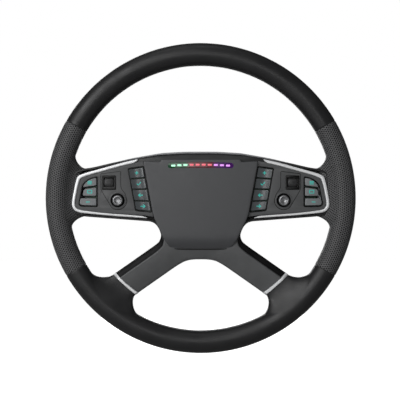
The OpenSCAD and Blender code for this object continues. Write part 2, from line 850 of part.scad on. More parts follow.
armature();
rim_foam();
leather(side_grip_angle, 180 - side_grip_angle);  // leather_top
leather_bottom();
leather(180 - side_grip_angle, 180 + side_grip_angle);  // leather_left
leather(-side_grip_angle, side_grip_angle);  // leather_right
rear_housing();
hub_pad();
rev_light_window();
color("lime") rev_lights(0, 2);  // rev_lights_green
color("red") rev_lights(3, 6);  // rev_lights_red
color("violet") rev_lights(7, 9);  // rev_lights_violet
rev_light_board();
button_panel(-1);  // button_panel_left
button_panel(1);  // button_panel_right
trim_strip(-1);  // trim_left
trim_strip(1);  // trim_right
spoke_trim(-1);  // spoke_trim_left
spoke_trim(1);  // spoke_trim_right
lower_cover_front();
lower_cover_back();
main_board();
switch_board(-1);  // switch_board_left
switch_board(1);  // switch_board_right
for (i = [0:2]) {
    outer_button(-1, i);
    outer_button(1, i);
}
for (i = [0:3]) {
    inner_button(-1, i);
    inner_button(1, i);
}
roller(-1);  // roller_left
roller(1);  // roller_right
roller_encoder(-1);  // roller_encoder_left
roller_encoder(1);  // roller_encoder_right
stick_base(-1);  // stick_base_left
stick_base(1);  // stick_base_right
stick_gimbal(-1);  // stick_gimbal_left
stick_gimbal(1);  // stick_gimbal_right
stick_lever(-1);  // stick_lever_left
stick_lever(1);  // stick_lever_right
stick_cap(-1);  // stick_cap_left
stick_cap(1);  // stick_cap_right
socket_body();
release_collar();
collar_spring();
retaining_ring();
for (i = [0:2]) lock_ball(i);
contact_block();
socket_bolts();
small_screws();
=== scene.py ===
"""Looks of a truck-style racing wheel: leather grips, hub skins, buttons, lights and the quick release.

Outlines are worked out in millimetres as (sideways x, forward f, upward z): the driver sits on the
forward side, so a point (x, f, z) lies at (x, -f, z) / 1000 metres in the model's frame.
"""

import json
from math import atan2, cos, hypot, pi, radians, sin, sqrt

import bmesh
import bpy
import numpy as np
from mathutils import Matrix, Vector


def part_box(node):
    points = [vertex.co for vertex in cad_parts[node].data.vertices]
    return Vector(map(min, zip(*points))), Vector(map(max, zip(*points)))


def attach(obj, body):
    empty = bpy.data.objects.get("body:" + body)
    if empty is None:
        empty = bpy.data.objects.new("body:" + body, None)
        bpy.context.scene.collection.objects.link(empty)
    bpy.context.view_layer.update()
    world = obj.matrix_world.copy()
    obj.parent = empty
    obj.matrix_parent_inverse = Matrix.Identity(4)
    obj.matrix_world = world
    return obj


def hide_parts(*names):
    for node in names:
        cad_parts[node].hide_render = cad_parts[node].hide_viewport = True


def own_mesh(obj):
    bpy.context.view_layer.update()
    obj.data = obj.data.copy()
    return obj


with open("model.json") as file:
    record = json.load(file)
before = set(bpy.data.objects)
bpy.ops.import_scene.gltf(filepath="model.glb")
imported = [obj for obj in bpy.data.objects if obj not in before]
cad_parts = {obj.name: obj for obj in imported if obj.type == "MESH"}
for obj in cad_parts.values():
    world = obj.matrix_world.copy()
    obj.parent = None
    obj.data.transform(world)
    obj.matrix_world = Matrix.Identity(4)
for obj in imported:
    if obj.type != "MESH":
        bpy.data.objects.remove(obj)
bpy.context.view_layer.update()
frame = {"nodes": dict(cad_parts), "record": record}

# ---- sizes, in mm and degrees


def span(node):
    """Lowest and highest (x, f, z) of a node, in millimetres."""
    low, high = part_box(node)
    return (np.array([low.x, -high.y, low.z]) * 1000, np.array([high.x, -low.y, high.z]) * 1000)


def middle(node):
    """Middle of a node as (x, z)."""
    low, high = span(node)
    return (low[[0, 2]] + high[[0, 2]]) / 2


rim_low, rim_high = span("leather_top")
RIM_FWD = (rim_low[1] + rim_high[1]) / 2
GRIP_R = (rim_high[1] - rim_low[1]) / 2
RING_R = rim_high[2] - GRIP_R
RIM_IN_R = RING_R - GRIP_R
FACE = span("button_panel_right")[1][1]
pad_low, pad_high = span("hub_pad")
PAD_FRONT = pad_high[1]
HUB_TOP = pad_high[2] + 2
HUB_BOTTOM = pad_low[2]
BACK = span("rear_housing")[0][1]
window_low, window_high = span("rev_light_window")
# Place of the leather's seams, up and down from the horizontal
SEAM_ANGLE = 30.0
# The pad's sides and the button columns lean outwards by this much sideways for each step up
SLANT = 0.184
PAD_HALF_W = 65.4
# The upper spoke's lower and upper edge where the leather boot takes over
UPPER_LOW, UPPER_HIGH = -23.7, 38.6
# The lower spoke: its slope, its width, where its middle line crosses the wheel's, and where its boot starts
LOWER_ANGLE = radians(35)
LOWER_W = 38.0
LOWER_DROP = 42.8
BOOT_R = 150.5
# How far the spokes' crease lies below their upper edge
FACET_W = 8
# Wall of the rear shell
SHELL_WALL = 2.5
# How far the back cover swells rearwards over the armature's arms
ROOT_RISE = 5.6
# How far the leather's loose edge goes under the spoke's own skin
TUCK = 3.3
SIDES = ((1, "right"), (-1, "left"))

# ---- outlines


def rounded(points, radius, steps=7):
    """A closed outline whose corners are quadratic Bezier arcs that start and end radius away."""
    p = np.asarray(points, float)
    before, after = np.roll(p, 1, 0), np.roll(p, -1, 0)
    r = np.broadcast_to(np.asarray(radius, float), len(p))[:, None]
    la = np.linalg.norm(before - p, axis=1, keepdims=True)
    lb = np.linalg.norm(after - p, axis=1, keepdims=True)
    start = p + (before - p) / la * np.minimum(r, la * 0.48)
    end = p + (after - p) / lb * np.minimum(r, lb * 0.48)
    t = np.linspace(0, 1, steps)[None, :, None]
    arc = (1 - t) ** 2 * start[:, None] + 2 * t * (1 - t) * p[:, None] + t**2 * end[:, None]
    return arc.reshape(-1, 2)


def even(points, count, closed=True):
    """The same outline with its points spread evenly along its length."""
    p = np.vstack([points, points[:1]]) if closed else np.asarray(points, float)
    s = np.concatenate([[0], np.cumsum(np.linalg.norm(np.diff(p, axis=0), axis=1))])
    at_length = np.linspace(0, s[-1], count, endpoint=not closed)
    return np.stack([np.interp(at_length, s, p[:, k]) for k in (0, 1)], -1)


def outward(p, closed=True):
    """Unit normals of an outline that runs clockwise: the tangent turned left."""
    t = np.roll(p, -1, 0) - np.roll(p, 1, 0) if closed else np.gradient(p, axis=0)
    t /= np.linalg.norm(t, axis=1, keepdims=True)
    return np.stack([-t[:, 1], t[:, 0]], -1)


def both_sides(half):
    """A right half that runs clockwise from the top, closed by its mirror image."""
    half = np.asarray(half, float)
    return np.vstack([half, half[::-1] * [-1, 1]])


def mirrored(p, side):
    """The right-hand outline on the left when side is -1, still clockwise."""
    return p if side > 0 else p[::-1] * [-1, 1]


def pad_side(z):
    """Half the pad's width at a height: a straight line that leans by SLANT."""
    return PAD_HALF_W + SLANT * z


def spoke_point(along, off):
    """A point of the right lower spoke: along its middle line and off it, turned by the spoke's slope."""
    c, s = cos(LOWER_ANGLE), sin(LOWER_ANGLE)
    return np.array([along * c + off * s, -LOWER_DROP - along * s + off * c])


def spoke_end(radius, off):
    """Where a line off the lower spoke's middle meets a circle about the axis: a quadratic's root."""
    p = spoke_point(0, off)
    u = np.array([cos(LOWER_ANGLE), -sin(LOWER_ANGLE)])
    return -p @ u + sqrt(radius**2 - p @ p + (p @ u) ** 2)


def node_outline(node):
    """The outline of a node's front face, in order of angle round its middle."""
    co = np.array([v.co for v in frame["nodes"][node].data.vertices]) * 1000
    front = co[co[:, 1] < co[:, 1].min() + 0.01][:, [0, 2]]
    front = np.unique(front.round(2), axis=0)
    order = np.argsort(-np.arctan2(*(front - (front.max(0) + front.min(0)) / 2).T[::-1]))
    return front[order]


def box_outline(centre, half_w, half_h, radius, steps=5):
    """A rectangle with round corners."""
    corners = np.array([[-1, 1], [1, 1], [1, -1], [-1, -1]]) * [half_w, half_h]
    return rounded(corners + centre, radius, steps)


# ---- meshes


def lifted(outline, f):
    """The points of an outline at the level f, as rows (x, f, z)."""
    return np.column_stack([outline[:, 0], np.broadcast_to(f, len(outline)), outline[:, 1]])


def grid(rows, looped=False, uv=None):
    """Quads between n rows of m points (x, f, z), where each row runs round a section.

    When looped, the last row meets the first. Otherwise each end is closed by a fan to its row's mean.
    """
    rows = np.asarray(rows, float)
    n, m = rows.shape[:2]
    k = np.arange(m)
    a, b = (i.ravel() for i in np.meshgrid(np.arange(n if looped else n - 1), k, indexing="ij"))
    a1, b1 = (a + 1) % n, (b + 1) % m
    faces = np.stack([a * m + b, a * m + b1, a1 * m + b1, a1 * m + b], -1).tolist()
    points = rows.reshape(-1, 3)
    loops = None
    if uv is not None:
        loops = np.stack([uv[a, b], uv[a, b + 1], uv[a + 1, b + 1], uv[a + 1, b]], 1).reshape(-1, 2)
    for row in () if looped else (0, n - 1):
        points = np.vstack([points, rows[row].mean(0)])
        fan = np.stack([row * m + k, row * m + (k + 1) % m, np.full(m, len(points) - 1)], -1)
        faces += fan.tolist()
        if uv is not None:
            loops = np.vstack([loops, np.repeat(uv[row, k], 3, axis=0)])
    return points, faces, loops


def joined(parts):
    """Several grids without UV maps as one."""
    starts = np.cumsum([0] + [len(points) for points, _, _ in parts]).tolist()
    faces = [[v + start for v in face] for start, part in zip(starts, parts) for face in part[1]]
    return np.vstack([part[0] for part in parts]), faces, None


def piece(name, shape, slot, finish=None, body="wheel", hides=(), crease=35):
    """Makes a mesh object from a grid, in metres in the model's frame, with its faces pointing outwards."""
    points, faces, loops = shape
    mesh = bpy.data.meshes.new(name)
    mesh.from_pydata((points * [1, -1, 1] / 1000).tolist(), [], faces)
    if loops is not None:
        layer = mesh.uv_layers.new(name="UVMap")
        layer.data.foreach_set("uv", loops.astype(np.float32).ravel())
    merged = bmesh.new()
    merged.from_mesh(mesh)
    bmesh.ops.remove_doubles(merged, verts=merged.verts, dist=2e-6)
    bmesh.ops.recalc_face_normals(merged, faces=merged.faces)
    merged.to_mesh(mesh)
    merged.free()
    mesh.polygons.foreach_set("use_smooth", np.ones(len(mesh.polygons), bool))
    mesh.set_sharp_from_angle(angle=radians(crease))
    mesh.materials.append(finish or FINISH[slot])
    thing = bpy.data.objects.new(name, mesh)
    bpy.context.scene.collection.objects.link(thing)
    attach(thing, body)
    if hides:
        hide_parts(*hides)
    return thing


def crowned(outline, edge, level, base, turn=6, rings=14, foot=0.0, floor=None):
    """A closed pad: level(x, z) gives its face, edge is the radius of its rounded rim, base the flat side.

    The face is a fan of rings from the middle, the rim a quarter circle, then comes a straight wall and a
    quarter circle of radius foot. With a floor, the flat side is sunk to that level inside a wall.
    """
    out = outward(outline)
    inner = outline - out * edge
    centre = (inner.max(0) + inner.min(0)) / 2
    way = 1 if level(*centre) > base else -1
    rows = []
    for share in np.linspace(0, 1, rings)[1:]:
        p = centre + (inner - centre) * share
        rows.append(lifted(p, level(*p.T)))
    for a in np.linspace(0, pi / 2, turn + 1)[1:]:
        p = inner + out * edge * sin(a)
        rows.append(lifted(p, level(*p.T) - way * edge * (1 - cos(a))))
    angles = np.linspace(0, pi / 2, 5 if foot else 1)
    lip = [(foot * (1 - cos(a)), base + way * foot * (1 - sin(a))) for a in angles]
    if floor is not None:
        inside, soft = SHELL_WALL, 0.4
        lip += [(foot + 0.1, base), (inside - soft, base), (inside, base + way * soft), (inside, floor)]
    rows += [lifted(outline - out * inset, f) for inset, f in lip]
    return grid(rows)


def plate(name, outlines, back, front, bevel, slot, finish=None, hides=()):
    """A flat plate: the first outline is its edge, the others are holes, and bevel rounds all edges."""
    curve = bpy.data.curves.new(name, "CURVE")
    curve.dimensions = "2D"
    curve.fill_mode = "BOTH"
    curve.extrude = ((front - back) / 2 - bevel) / 1000
    curve.bevel_depth = bevel / 1000
    curve.bevel_resolution = 3
    curve.offset = -bevel / 1000
    for outline in outlines:
        spline = curve.splines.new("POLY")
        spline.points.add(len(outline) - 1)
        co = np.column_stack([outline / 1000, np.zeros(len(outline)), np.ones(len(outline))])
        spline.points.foreach_set("co", co.ravel())
        spline.use_cyclic_u = True
    drawn = bpy.data.objects.new(name, curve)
    mesh = bpy.data.meshes.new_from_object(drawn)
    bpy.data.objects.remove(drawn)
    co = np.empty(len(mesh.vertices) * 3)
    mesh.vertices.foreach_get("co", co)
    x, z, f = co.reshape(-1, 3).T
    points = np.column_stack([x, f + (front + back) / 2000, z]) * 1000
    faces = [list(p.vertices) for p in mesh.polygons]
    return piece(name, (points, faces, None), slot, finish, hides=hides, crease=30)


def swept(path, section, width, lift, shift=0.0):
    """A section (across, f) carried along a path in the front plane.

    Across is multiplied by width and moved by shift along the path's left normal, and f is added to lift.
    """
    across = section[None, :, 0] * width[:, None] + shift
    side_on = path[:, None] + outward(path, closed=False)[:, None] * across[..., None]
    f = np.broadcast_to(lift[:, None] + section[None, :, 1], across.shape)
    return grid(np.stack([side_on[..., 0], f, side_on[..., 1]], -1))


def turned(profile, count, centre=(0, 0), ripple=0.0):
    """A (radius, f) profile spun about a line along f through centre; ripple is added to the radius."""
    profile = np.asarray(profile, float)
    a = np.linspace(0, 2 * pi, count, endpoint=False)
    r = np.repeat(profile[:, :1], count, 1) + ripple
    f = np.repeat(profile[:, 1:], count, 1)
    return np.stack([centre[0] + r * np.cos(a), f, centre[1] + r * np.sin(a)], -1)


# ---- materials


def colour(text):
    """sRGB hex to a linear colour."""
    c = [int(text[i : i + 2], 16) / 255 for i in (1, 3, 5)]
    return [x / 12.92 if x <= 0.04045 else ((x + 0.055) / 1.055) ** 2.4 for x in c] + [1.0]


def add(tree, kind, settings=None, **links):
    """Adds a node: settings are its properties or input values, links name an input, or i and its number."""
    made = tree.nodes.new("ShaderNode" + kind)
    for key, value in (settings or {}).items():
        if isinstance(key, int) or key in made.inputs:
            made.inputs[key].default_value = value
        else:
            setattr(made, key, value)
    for key, source in links.items():
        socket = int(key[1:]) if key[1:].isdigit() else key.replace("_", " ")
        tree.links.new(source, made.inputs[socket])
    return made


def base(name, **values):
    """A new material and its Principled shader, with plain values on the shader's own sockets."""
    material = bpy.data.materials.new(name)
    material.use_nodes = True
    tree = material.node_tree
    tree.nodes.clear()
    shader = add(tree, "BsdfPrincipled", {k.replace("_", " "): v for k, v in values.items()})
    add(tree, "OutputMaterial", Surface=shader.outputs[0])
    return material, tree, shader


def grained(name, dark, light, grain_mm, bump_mm, roughness, spread=0.08, cells=False, **values):
    """Colour, roughness and bump that vary with one grain: cells for leather, noise for all else."""
    material, tree, shader = base(name, **values)
    spot = add(tree, "TexCoord").outputs["Object"]
    if cells:
        fine = add(tree, "TexVoronoi", {"Scale": 1000 / grain_mm, "feature": "SMOOTH_F1"}, Vector=spot)
    else:
        fine = add(tree, "TexNoise", {"Scale": 1000 / grain_mm, "Detail": 3.0}, Vector=spot)
    broad = add(tree, "TexNoise", {"Scale": 1000 / (grain_mm * 28), "Detail": 2.0}, Vector=spot).outputs[0]
    mix = add(tree, "Mix", {"data_type": "RGBA", 6: colour(dark), 7: colour(light)}, i0=broad)
    limits = {"From Min": 0.3, "From Max": 0.7, "To Min": roughness - spread, "To Max": roughness + spread}
    rough = add(tree, "MapRange", limits, Value=broad)
    bump = add(tree, "Bump", {"Strength": 0.6, "Distance": bump_mm / 1000}, Height=fine.outputs[0])
    tree.links.new(mix.outputs[2], shader.inputs["Base Color"])
    tree.links.new(rough.outputs[0], shader.inputs["Roughness"])
    tree.links.new(bump.outputs[0], shader.inputs["Normal"])
    return material


def perforated(name, dark, light, pitch_mm, hole_mm):
    """Perforated leather: punched holes in a hexagonal pattern, on the piece's own UV map in metres.

    The lattice is two oblong grids, one shifted by half a cell; a hole is where either's centre is near.
    """
    material = grained(name, dark, light, 0.9, 0.12, 0.5, cells=True, Specular_IOR_Level=0.3)
    tree = material.node_tree
    shader = tree.nodes["Principled BSDF"]
    uv = add(tree, "UVMap", {"uv_map": "UVMap"}).outputs[0]
    cell = (pitch_mm / 1000, pitch_mm / 1000 * sqrt(3), 1)
    to_metres = cell[:2] + (0,)
    scaled = add(tree, "VectorMath", {"operation": "DIVIDE", 1: cell}, i0=uv).outputs[0]
    near = []
    for shift in (0.0, 0.5):
        found = scaled
        moved, middled = (shift, shift, 0), (0.5, 0.5, 0)
        steps = {"ADD": moved, "FRACTION": (0, 0, 0), "SUBTRACT": middled, "MULTIPLY": to_metres}
        for operation, value in steps.items():
            found = add(tree, "VectorMath", {"operation": operation, 1: value}, i0=found).outputs[0]
        near.append(add(tree, "VectorMath", {"operation": "LENGTH"}, i0=found).outputs["Value"])
    least = add(tree, "Math", {"operation": "MINIMUM"}, i0=near[0], i1=near[1]).outputs[0]
    edge = {"From Min": hole_mm * 0.38e-3, "From Max": hole_mm * 0.62e-3, "To Min": 1.0, "To Max": 0.0}
    hole = add(tree, "MapRange", edge, Value=least).outputs[0]
    skin = shader.inputs["Base Color"].links[0].from_socket
    black = add(tree, "Mix", {"data_type": "RGBA", 7: colour("#060606")}, i0=hole, i6=skin)
    tree.links.new(black.outputs[2], shader.inputs["Base Color"])
    grain = shader.inputs["Normal"].links[0].from_socket
    level = add(tree, "Math", {"operation": "SUBTRACT", 0: 1.0}, i1=hole).outputs[0]
    punched = add(tree, "Bump", {"Strength": 1.0, "Distance": 0.0006}, Height=level, Normal=grain)
    tree.links.new(punched.outputs[0], shader.inputs["Normal"])
    return material


def lit(name, centre, glow):
    """A lit diffuser: it shines by itself and is still a glossy moulding."""
    glows = {"Emission_Color": colour(centre), "Emission_Strength": glow}
    material, tree, shader = base(name, Base_Color=colour(centre), Roughness=0.3, **glows)
    spot = add(tree, "TexCoord").outputs["Object"]
    noise = add(tree, "TexNoise", {"Scale": 900.0}, Vector=spot).outputs[0]
    bump = add(tree, "Bump", {"Strength": 0.2, "Distance": 0.0001}, Height=noise)
    tree.links.new(bump.outputs[0], shader.inputs["Normal"])
    return material


def turned_metal(name, tint, roughness, ring_mm=0.35):
    """Metal turned on a lathe about the wheel's axis: fine tool rings, drawn coarse enough to show."""
    material, tree, shader = base(name, Base_Color=colour(tint), Metallic=1.0)
    spot = add(tree, "TexCoord").outputs["Object"]
    wave = {"wave_type": "RINGS", "rings_direction": "Y", "Scale": 50 / ring_mm, "Distortion": 0.4}
    rings = add(tree, "TexWave", wave, Vector=spot).outputs[1]
    rough = add(tree, "MapRange", {"To Min": roughness - 0.06, "To Max": roughness + 0.08}, Value=rings)
    bump = add(tree, "Bump", {"Strength": 0.3, "Distance": 0.0001}, Height=rings)
    tree.links.new(rough.outputs[0], shader.inputs["Roughness"])
    tree.links.new(bump.outputs[0], shader.inputs["Normal"])
    return material


def glowing_window():
    """Smoked polycarbonate lit from behind: green, red, then violet along it, faint between the lights."""
    material = grained("window_smoked_polycarbonate", "#050706", "#0a0b0a", 0.8, 0.003, 0.16)
    tree = material.node_tree
    shader = tree.nodes["Principled BSDF"]
    half = (window_high[0] - window_low[0]) / 2000
    x = add(tree, "SeparateXYZ", Vector=add(tree, "TexCoord").outputs["Object"]).outputs[0]
    along = add(tree, "MapRange", {"From Min": -half, "From Max": half}, Value=x).outputs[0]
    ramp = add(tree, "ValToRGB", Fac=along)
    stops = ramp.color_ramp.elements
    stops[0].position, stops[1].position = 0.27, 0.76
    for red_place in (0.33, 0.66):
        stops.new(red_place)
    for stop, tint in zip(stops, ("#0b5a33", "#7a1420", "#7a1428", "#5a1d7c")):
        stop.color = colour(tint)
    tree.links.new(ramp.outputs[0], shader.inputs["Emission Color"])
    shader.inputs["Emission Strength"].default_value = 0.38
    return material


# Polyester thread, twisted: matt and a little fuzzy, no brighter than the leather
THREAD = grained("stitching_polyester", "#1f1f20", "#2a2a2b", 0.4, 0.05, 0.7)
# The brow lip's pale grey is a painted highlight: the housing's black rounded edge lit from above, given as
# the lip's own colour
BROW_LIP_HIGHLIGHT = grained("brow_lip_painted_highlight", "#8c8d90", "#949598", 0.35, 0.01, 0.4)
# Moulded ABS in the brow's shade: dark and even
BROW_FLOOR = grained("brow_moulded_abs", "#222324", "#272829", 0.5, 0.01, 0.5)
# ABS left bare on the facet, without the face's satin lacquer: nearly black
FACET_SKIN = grained("facet_moulded_abs", "#0d0d0e", "#111112", 0.5, 0.01, 0.45, Specular_IOR_Level=0.3)
# Polished black ABS, for bezels and the insides of openings: deep black with a faint reflection
BLACK_GLOSS = grained(
    "bezel_polished_abs", "#030303", "#050505", 0.8, 0.005, 0.3, 0.03, Specular_IOR_Level=0.25
)
# Smoked polycarbonate caps, polished: the hollow face catches the light on one side only
SMOKED_CAP = grained("button_smoked_polycarbonate", "#4b4f51", "#515557", 0.6, 0.001, 0.24, 0.02)
# Teal ink printed on the caps: flat colour without gloss
INK = grained("sign_printed_ink", "#2fbdb0", "#40cfc2", 0.4, 0.01, 0.5)
# Gold plate on copper: a warm clean gleam on the contact pins
GOLD = grained("contact_gold_plate", "#b08d3c", "#c7a24a", 0.5, 0.004, 0.3, Metallic=1.0)
# ABS from a spark-eroded tool: black with a fine even grain that scatters the light
HOUSING_SKIN = grained("housing_moulded_abs", "#161617", "#1b1b1c", 0.6, 0.03, 0.48)
# Drawn and ground steel: bright, with narrow highlights
BRIGHT_STEEL = grained("spring_drawn_steel", "#a9abae", "#bcbec0", 0.5, 0.006, 0.26, 0.05, Metallic=1.0)

# The finish of each material slot
FINISH = {
    # Full-grain leather, wrapped tight: small cells, a soft sheen where hands have smoothed it
    "leather_smooth": grained(
        "leather_wrapped", "#1e1e1f", "#242425", 0.8, 0.06, 0.42, cells=True, Specular_IOR_Level=0.4
    ),
    # The same leather, punched: matt and paler, the holes drawn larger than 1 mm so that they show
    "leather_perforated": perforated("leather_perforated", "#565657", "#5f5f60", 3.1, 1.8),
    # ABS with a soft-touch lacquer: almost no gloss, a very fine orange peel
    "pad_soft": grained("pad_soft_touch_lacquer", "#454648", "#4a4b4d", 0.35, 0.01, 0.48),
    "panel_plastic": grained("panel_soft_touch_lacquer", "#464748", "#4b4c4d", 0.35, 0.01, 0.48),
    # ABS moulded in a spark-eroded tool and lacquered: a satin grey with a fine even grain
    "cover_plastic": grained("spoke_moulded_abs", "#4b4c4d", "#515253", 0.5, 0.01, 0.44),
    # Satin chrome plate on ABS: nearly white, with soft broad reflections
    "bright_trim": grained("trim_satin_chrome", "#eaebed", "#f0f1f2", 0.5, 0.001, 0.34, 0.03, Metallic=0.2),
    # Painted ABS: a mid grey with a low gloss
    "button_cap": grained("button_painted_abs", "#6f7274", "#787b7d", 0.4, 0.01, 0.34),
    # Moulded rubber: dark and matt
    "roller_rubber": grained("roller_moulded_rubber", "#2a2a2b", "#323233", 0.5, 0.03, 0.42),
    # Metallic paint: a silver grey that brightens towards the light
    "stick_grip": grained("stick_painted_metallic", "#8b8c8e", "#949597", 0.4, 0.008, 0.33, Metallic=0.75),
    # Black oxide on steel: dark with a thin metal gleam
    "screw_steel": grained("fastener_black_oxide", "#2b2c2e", "#3a3b3d", 0.6, 0.01, 0.38, Metallic=1.0),
    # Turned aluminium, bare and black anodised: tool rings that draw the highlights out along the turning
    "socket_metal": turned_metal("socket_turned_aluminium", "#a4a7aa", 0.3),
    "collar_metal": turned_metal("collar_black_anodised", "#26272a", 0.36),
    # Solder mask over glass-fibre board: a dark green film, smooth and slightly glossy
    "circuit_board": grained("board_solder_mask", "#12351f", "#174227", 1.2, 0.02, 0.35),
    # Die-cast aluminium as it leaves the tool: dull grey with a coarse skin
    "armature_metal": grained("armature_die_cast", "#8d9093", "#a1a4a7", 1.4, 0.05, 0.5, Metallic=1.0),
    # Moulded polyurethane foam: black and quite matt
    "foam": grained("foam_moulded", "#242425", "#2d2d2e", 1.0, 0.1, 0.8),
    # Lit polycarbonate diffusers: pale in the middle of their colour
    "led_green": lit("light_green_diffuser", "#a9ecc6", 0.8),
    "led_red": lit("light_red_diffuser", "#d9626e", 0.7),
    "led_violet": lit("light_violet_diffuser", "#cf8ce0", 0.75),
    "smoked_lens": glowing_window(),
    "housing_plastic": HOUSING_SKIN,
    "encoder_plastic": HOUSING_SKIN,
    "contact_plastic": HOUSING_SKIN,
    "stick_plastic": HOUSING_SKIN,
    "gimbal_metal": BRIGHT_STEEL,
    "spring_steel": BRIGHT_STEEL,
    "ball_steel": BRIGHT_STEEL,
}


# ---- rim


def torus(theta, phi, radius=GRIP_R):
    """A point of the rim: theta goes round the wheel, phi round the grip with 90 degrees to the front."""
    rho = RING_R + radius * np.cos(phi)
    forward = RIM_FWD + radius * np.sin(phi)
    return np.stack(np.broadcast_arrays(rho * np.cos(theta), forward, rho * np.sin(theta)), -1)


def grip(word, start, end, slot):
    """A length of the rim's tube: its radius dips by a bell curve at both seams."""
    depth, half_w = 0.55, 0.6
    a, b = radians(start), radians(end)
    theta = np.linspace(a, b, int(abs(end - start) * 1.6) + 1)
    ends = np.array([0.0, 0.3, 0.6, 1.0, 1.6, 2.4]) / RING_R
    theta = np.concatenate([a + ends, theta[2:-2], (b - ends)[::-1]])
    phi = np.linspace(0, 2 * pi, 64, endpoint=False)
    from_seam = np.minimum(theta - a, b - theta) * RING_R
    dip = depth * np.exp(-((from_seam / half_w) ** 2))
    rows = torus(theta[:, None], phi[None, :], GRIP_R - dip[:, None])
    around = np.append(phi, 2 * pi) * GRIP_R / 1000
    uv = np.stack(np.meshgrid(theta * RING_R / 1000, around, indexing="ij"), -1)
    piece(f"grip_{word}", grid(rows, uv=uv), slot, hides=[f"leather_{word}"], crease=60)


def around_spoke(count):
    """Angles round a spoke's section, from the middle of its back by its front to its back again."""
    return np.linspace(-pi / 2, 1.5 * pi, count, endpoint=False)


def boot(name, side, section, direction, theta, phi, pull, slot):
    """Leather drawn from a spoke's end out onto the rim, as a fan of cubic curves.

    Each curve leaves a point of the section along the spoke and lands on the rim's surface, tangent to it:
    P = h00 S + h10 D0 + h01 E + h11 D1, where E is a loop on the rim round where the spoke meets it.
    """
    t = around_spoke(len(section))
    c, s = np.cos(t), np.sin(t)
    direction = np.asarray(direction, float)
    mid, half = (theta[1] + theta[0]) / 2, (theta[1] - theta[0]) / 2
    th, ph = np.radians(mid + half * c), np.radians(180 - phi * s)
    sunk, step = GRIP_R - 0.03, 3e-3
    end = torus(th, ph, sunk)
    landing = torus(th + step * radians(half) * c, ph - step * radians(phi) * s, sunk) - end
    landing /= np.linalg.norm(landing, axis=1, keepdims=True)
    reach = np.linalg.norm(end - section, axis=1, keepdims=True)
    lead = direction * reach * pull[0]
    landing = landing * reach * pull[1]
    u = np.linspace(0, 1, 22)[:, None, None]
    drawn = (
        (2 * u**3 - 3 * u**2 + 1) * section[None]
        + (u**3 - 2 * u**2 + u) * lead[None]
        + (3 * u**2 - 2 * u**3) * end[None]
        + (u**3 - u**2) * landing[None]
    )
    # The loose edge shrinks and goes back and in, so that the spoke's skin hides it
    centre = section.mean(0)
    shrink, back = np.array([0.93, 0.4, 0.93]), np.array([0, -4.0, 0])
    tucked = centre + (section - centre) * shrink - direction * TUCK + back
    turned_in = centre + (section - centre) * (shrink + 0.04) - direction * 0.3 + back
    near = drawn[0] + (centre - drawn[0]) * 0.02
    rows = np.concatenate([tucked[None], turned_in[None], near[None], drawn])
    rows[..., 0] *= side
    closed = np.concatenate([rows, rows[:, :1]], 1)
    loop = np.cumsum(np.linalg.norm(np.diff(closed, axis=1, prepend=closed[:, :1]), axis=2), axis=1)
    length = np.cumsum(np.linalg.norm(np.diff(closed, axis=0, prepend=closed[:1]), axis=2), axis=0)
    middle_of_front = loop[:, len(section) // 2, None]
    uv = np.stack([loop - middle_of_front, length - length[3]], -1) / 1000
    piece(name, grid(rows, uv=uv), slot, crease=80)


def squared(t, power):
    """cos and sin pulled towards a rounded square by raising their sizes to a power below 1."""
    c, s = np.cos(t), np.sin(t)
    return np.sign(c) * np.abs(c) ** power, np.sign(s) * np.abs(s) ** power


def stitches():
    """Two rows of thread along the rim's inner back, each stitch a six-sided spindle across the seam."""
    count, lean_w, length, thread_r = 210, 0.011, 0.13, 0.55
    theta = np.linspace(0, 2 * pi, count, endpoint=False)
    lengthwise = np.linspace(-1, 1, 7)
    around = np.linspace(0, 2 * pi, 6, endpoint=False)[:, None]
    phi = radians(238) + lengthwise * length
    thick = (thread_r * np.sqrt(1 - lengthwise**2 * 0.96))[:, None, None]
    parts = []
    for lean in (-1, 1):
        th = theta[:, None] + lean * lengthwise[None] * lean_w
        core = torus(th, phi[None, :], GRIP_R + 0.1)
        rise = torus(th, phi[None, :], GRIP_R + 1.1) - core
        turn = np.stack([-np.sin(th), np.zeros_like(th), np.cos(th)], -1)
        bulge = np.cos(around) * rise[:, :, None] + np.sin(around) * turn[:, :, None]
        parts += [grid(row) for row in core[:, :, None] + thick * bulge]
    return joined(parts)


def rim():
    """Four lengths of grip, the stitching, and the boots over both spokes' ends."""
    a = SEAM_ANGLE
    grip("top", a, 180 - a, "leather_smooth")
    grip("bottom", 180 + a, 360 - a, "leather_smooth")
    grip("right", -a, a, "leather_perforated")
    grip("left", 180 - a, 180 + a, "leather_perforated")
    piece("grip_stitching", stitches(), "leather_smooth", THREAD)
    t = around_spoke(72)
    c, s = squared(t, 0.42)
    across = 149.5 + 9.5 * np.sin(t) ** 2
    low, high = BACK + 9, FACE - 3
    forward = (low + high) / 2 + (high - low) / 2 * s
    upper = np.stack([across, forward, (UPPER_LOW + UPPER_HIGH) / 2 + (UPPER_HIGH - UPPER_LOW) / 2 * c], -1)
    c, s = squared(t, 0.35)
    off = LOWER_W / 2
    reach = np.interp(c, [-1, 1], [spoke_end(BOOT_R, -off), spoke_end(BOOT_R, off)])
    x, z = spoke_point(reach, c * off)
    lower = np.stack([x, 80.5 + 8.5 * s, z], -1)
    # Each boot: its spoke's section and direction, its reach round wheel and grip in degrees, and its pull
    downwards = (cos(LOWER_ANGLE), 0, -sin(LOWER_ANGLE))
    boots = {
        "upper": (upper, (1, 0, 0), (-13.2, 19.2), 78, (0.8, 0.9), "leather_perforated"),
        "lower": (lower, downwards, (-61.7, -34.1), 74, (0.9, 0.9), "leather_smooth"),
    }
    for side, word in SIDES:
        for spoke, values in boots.items():
            boot(f"grip_root_{spoke}_{word}", side, *values)


# ---- hub


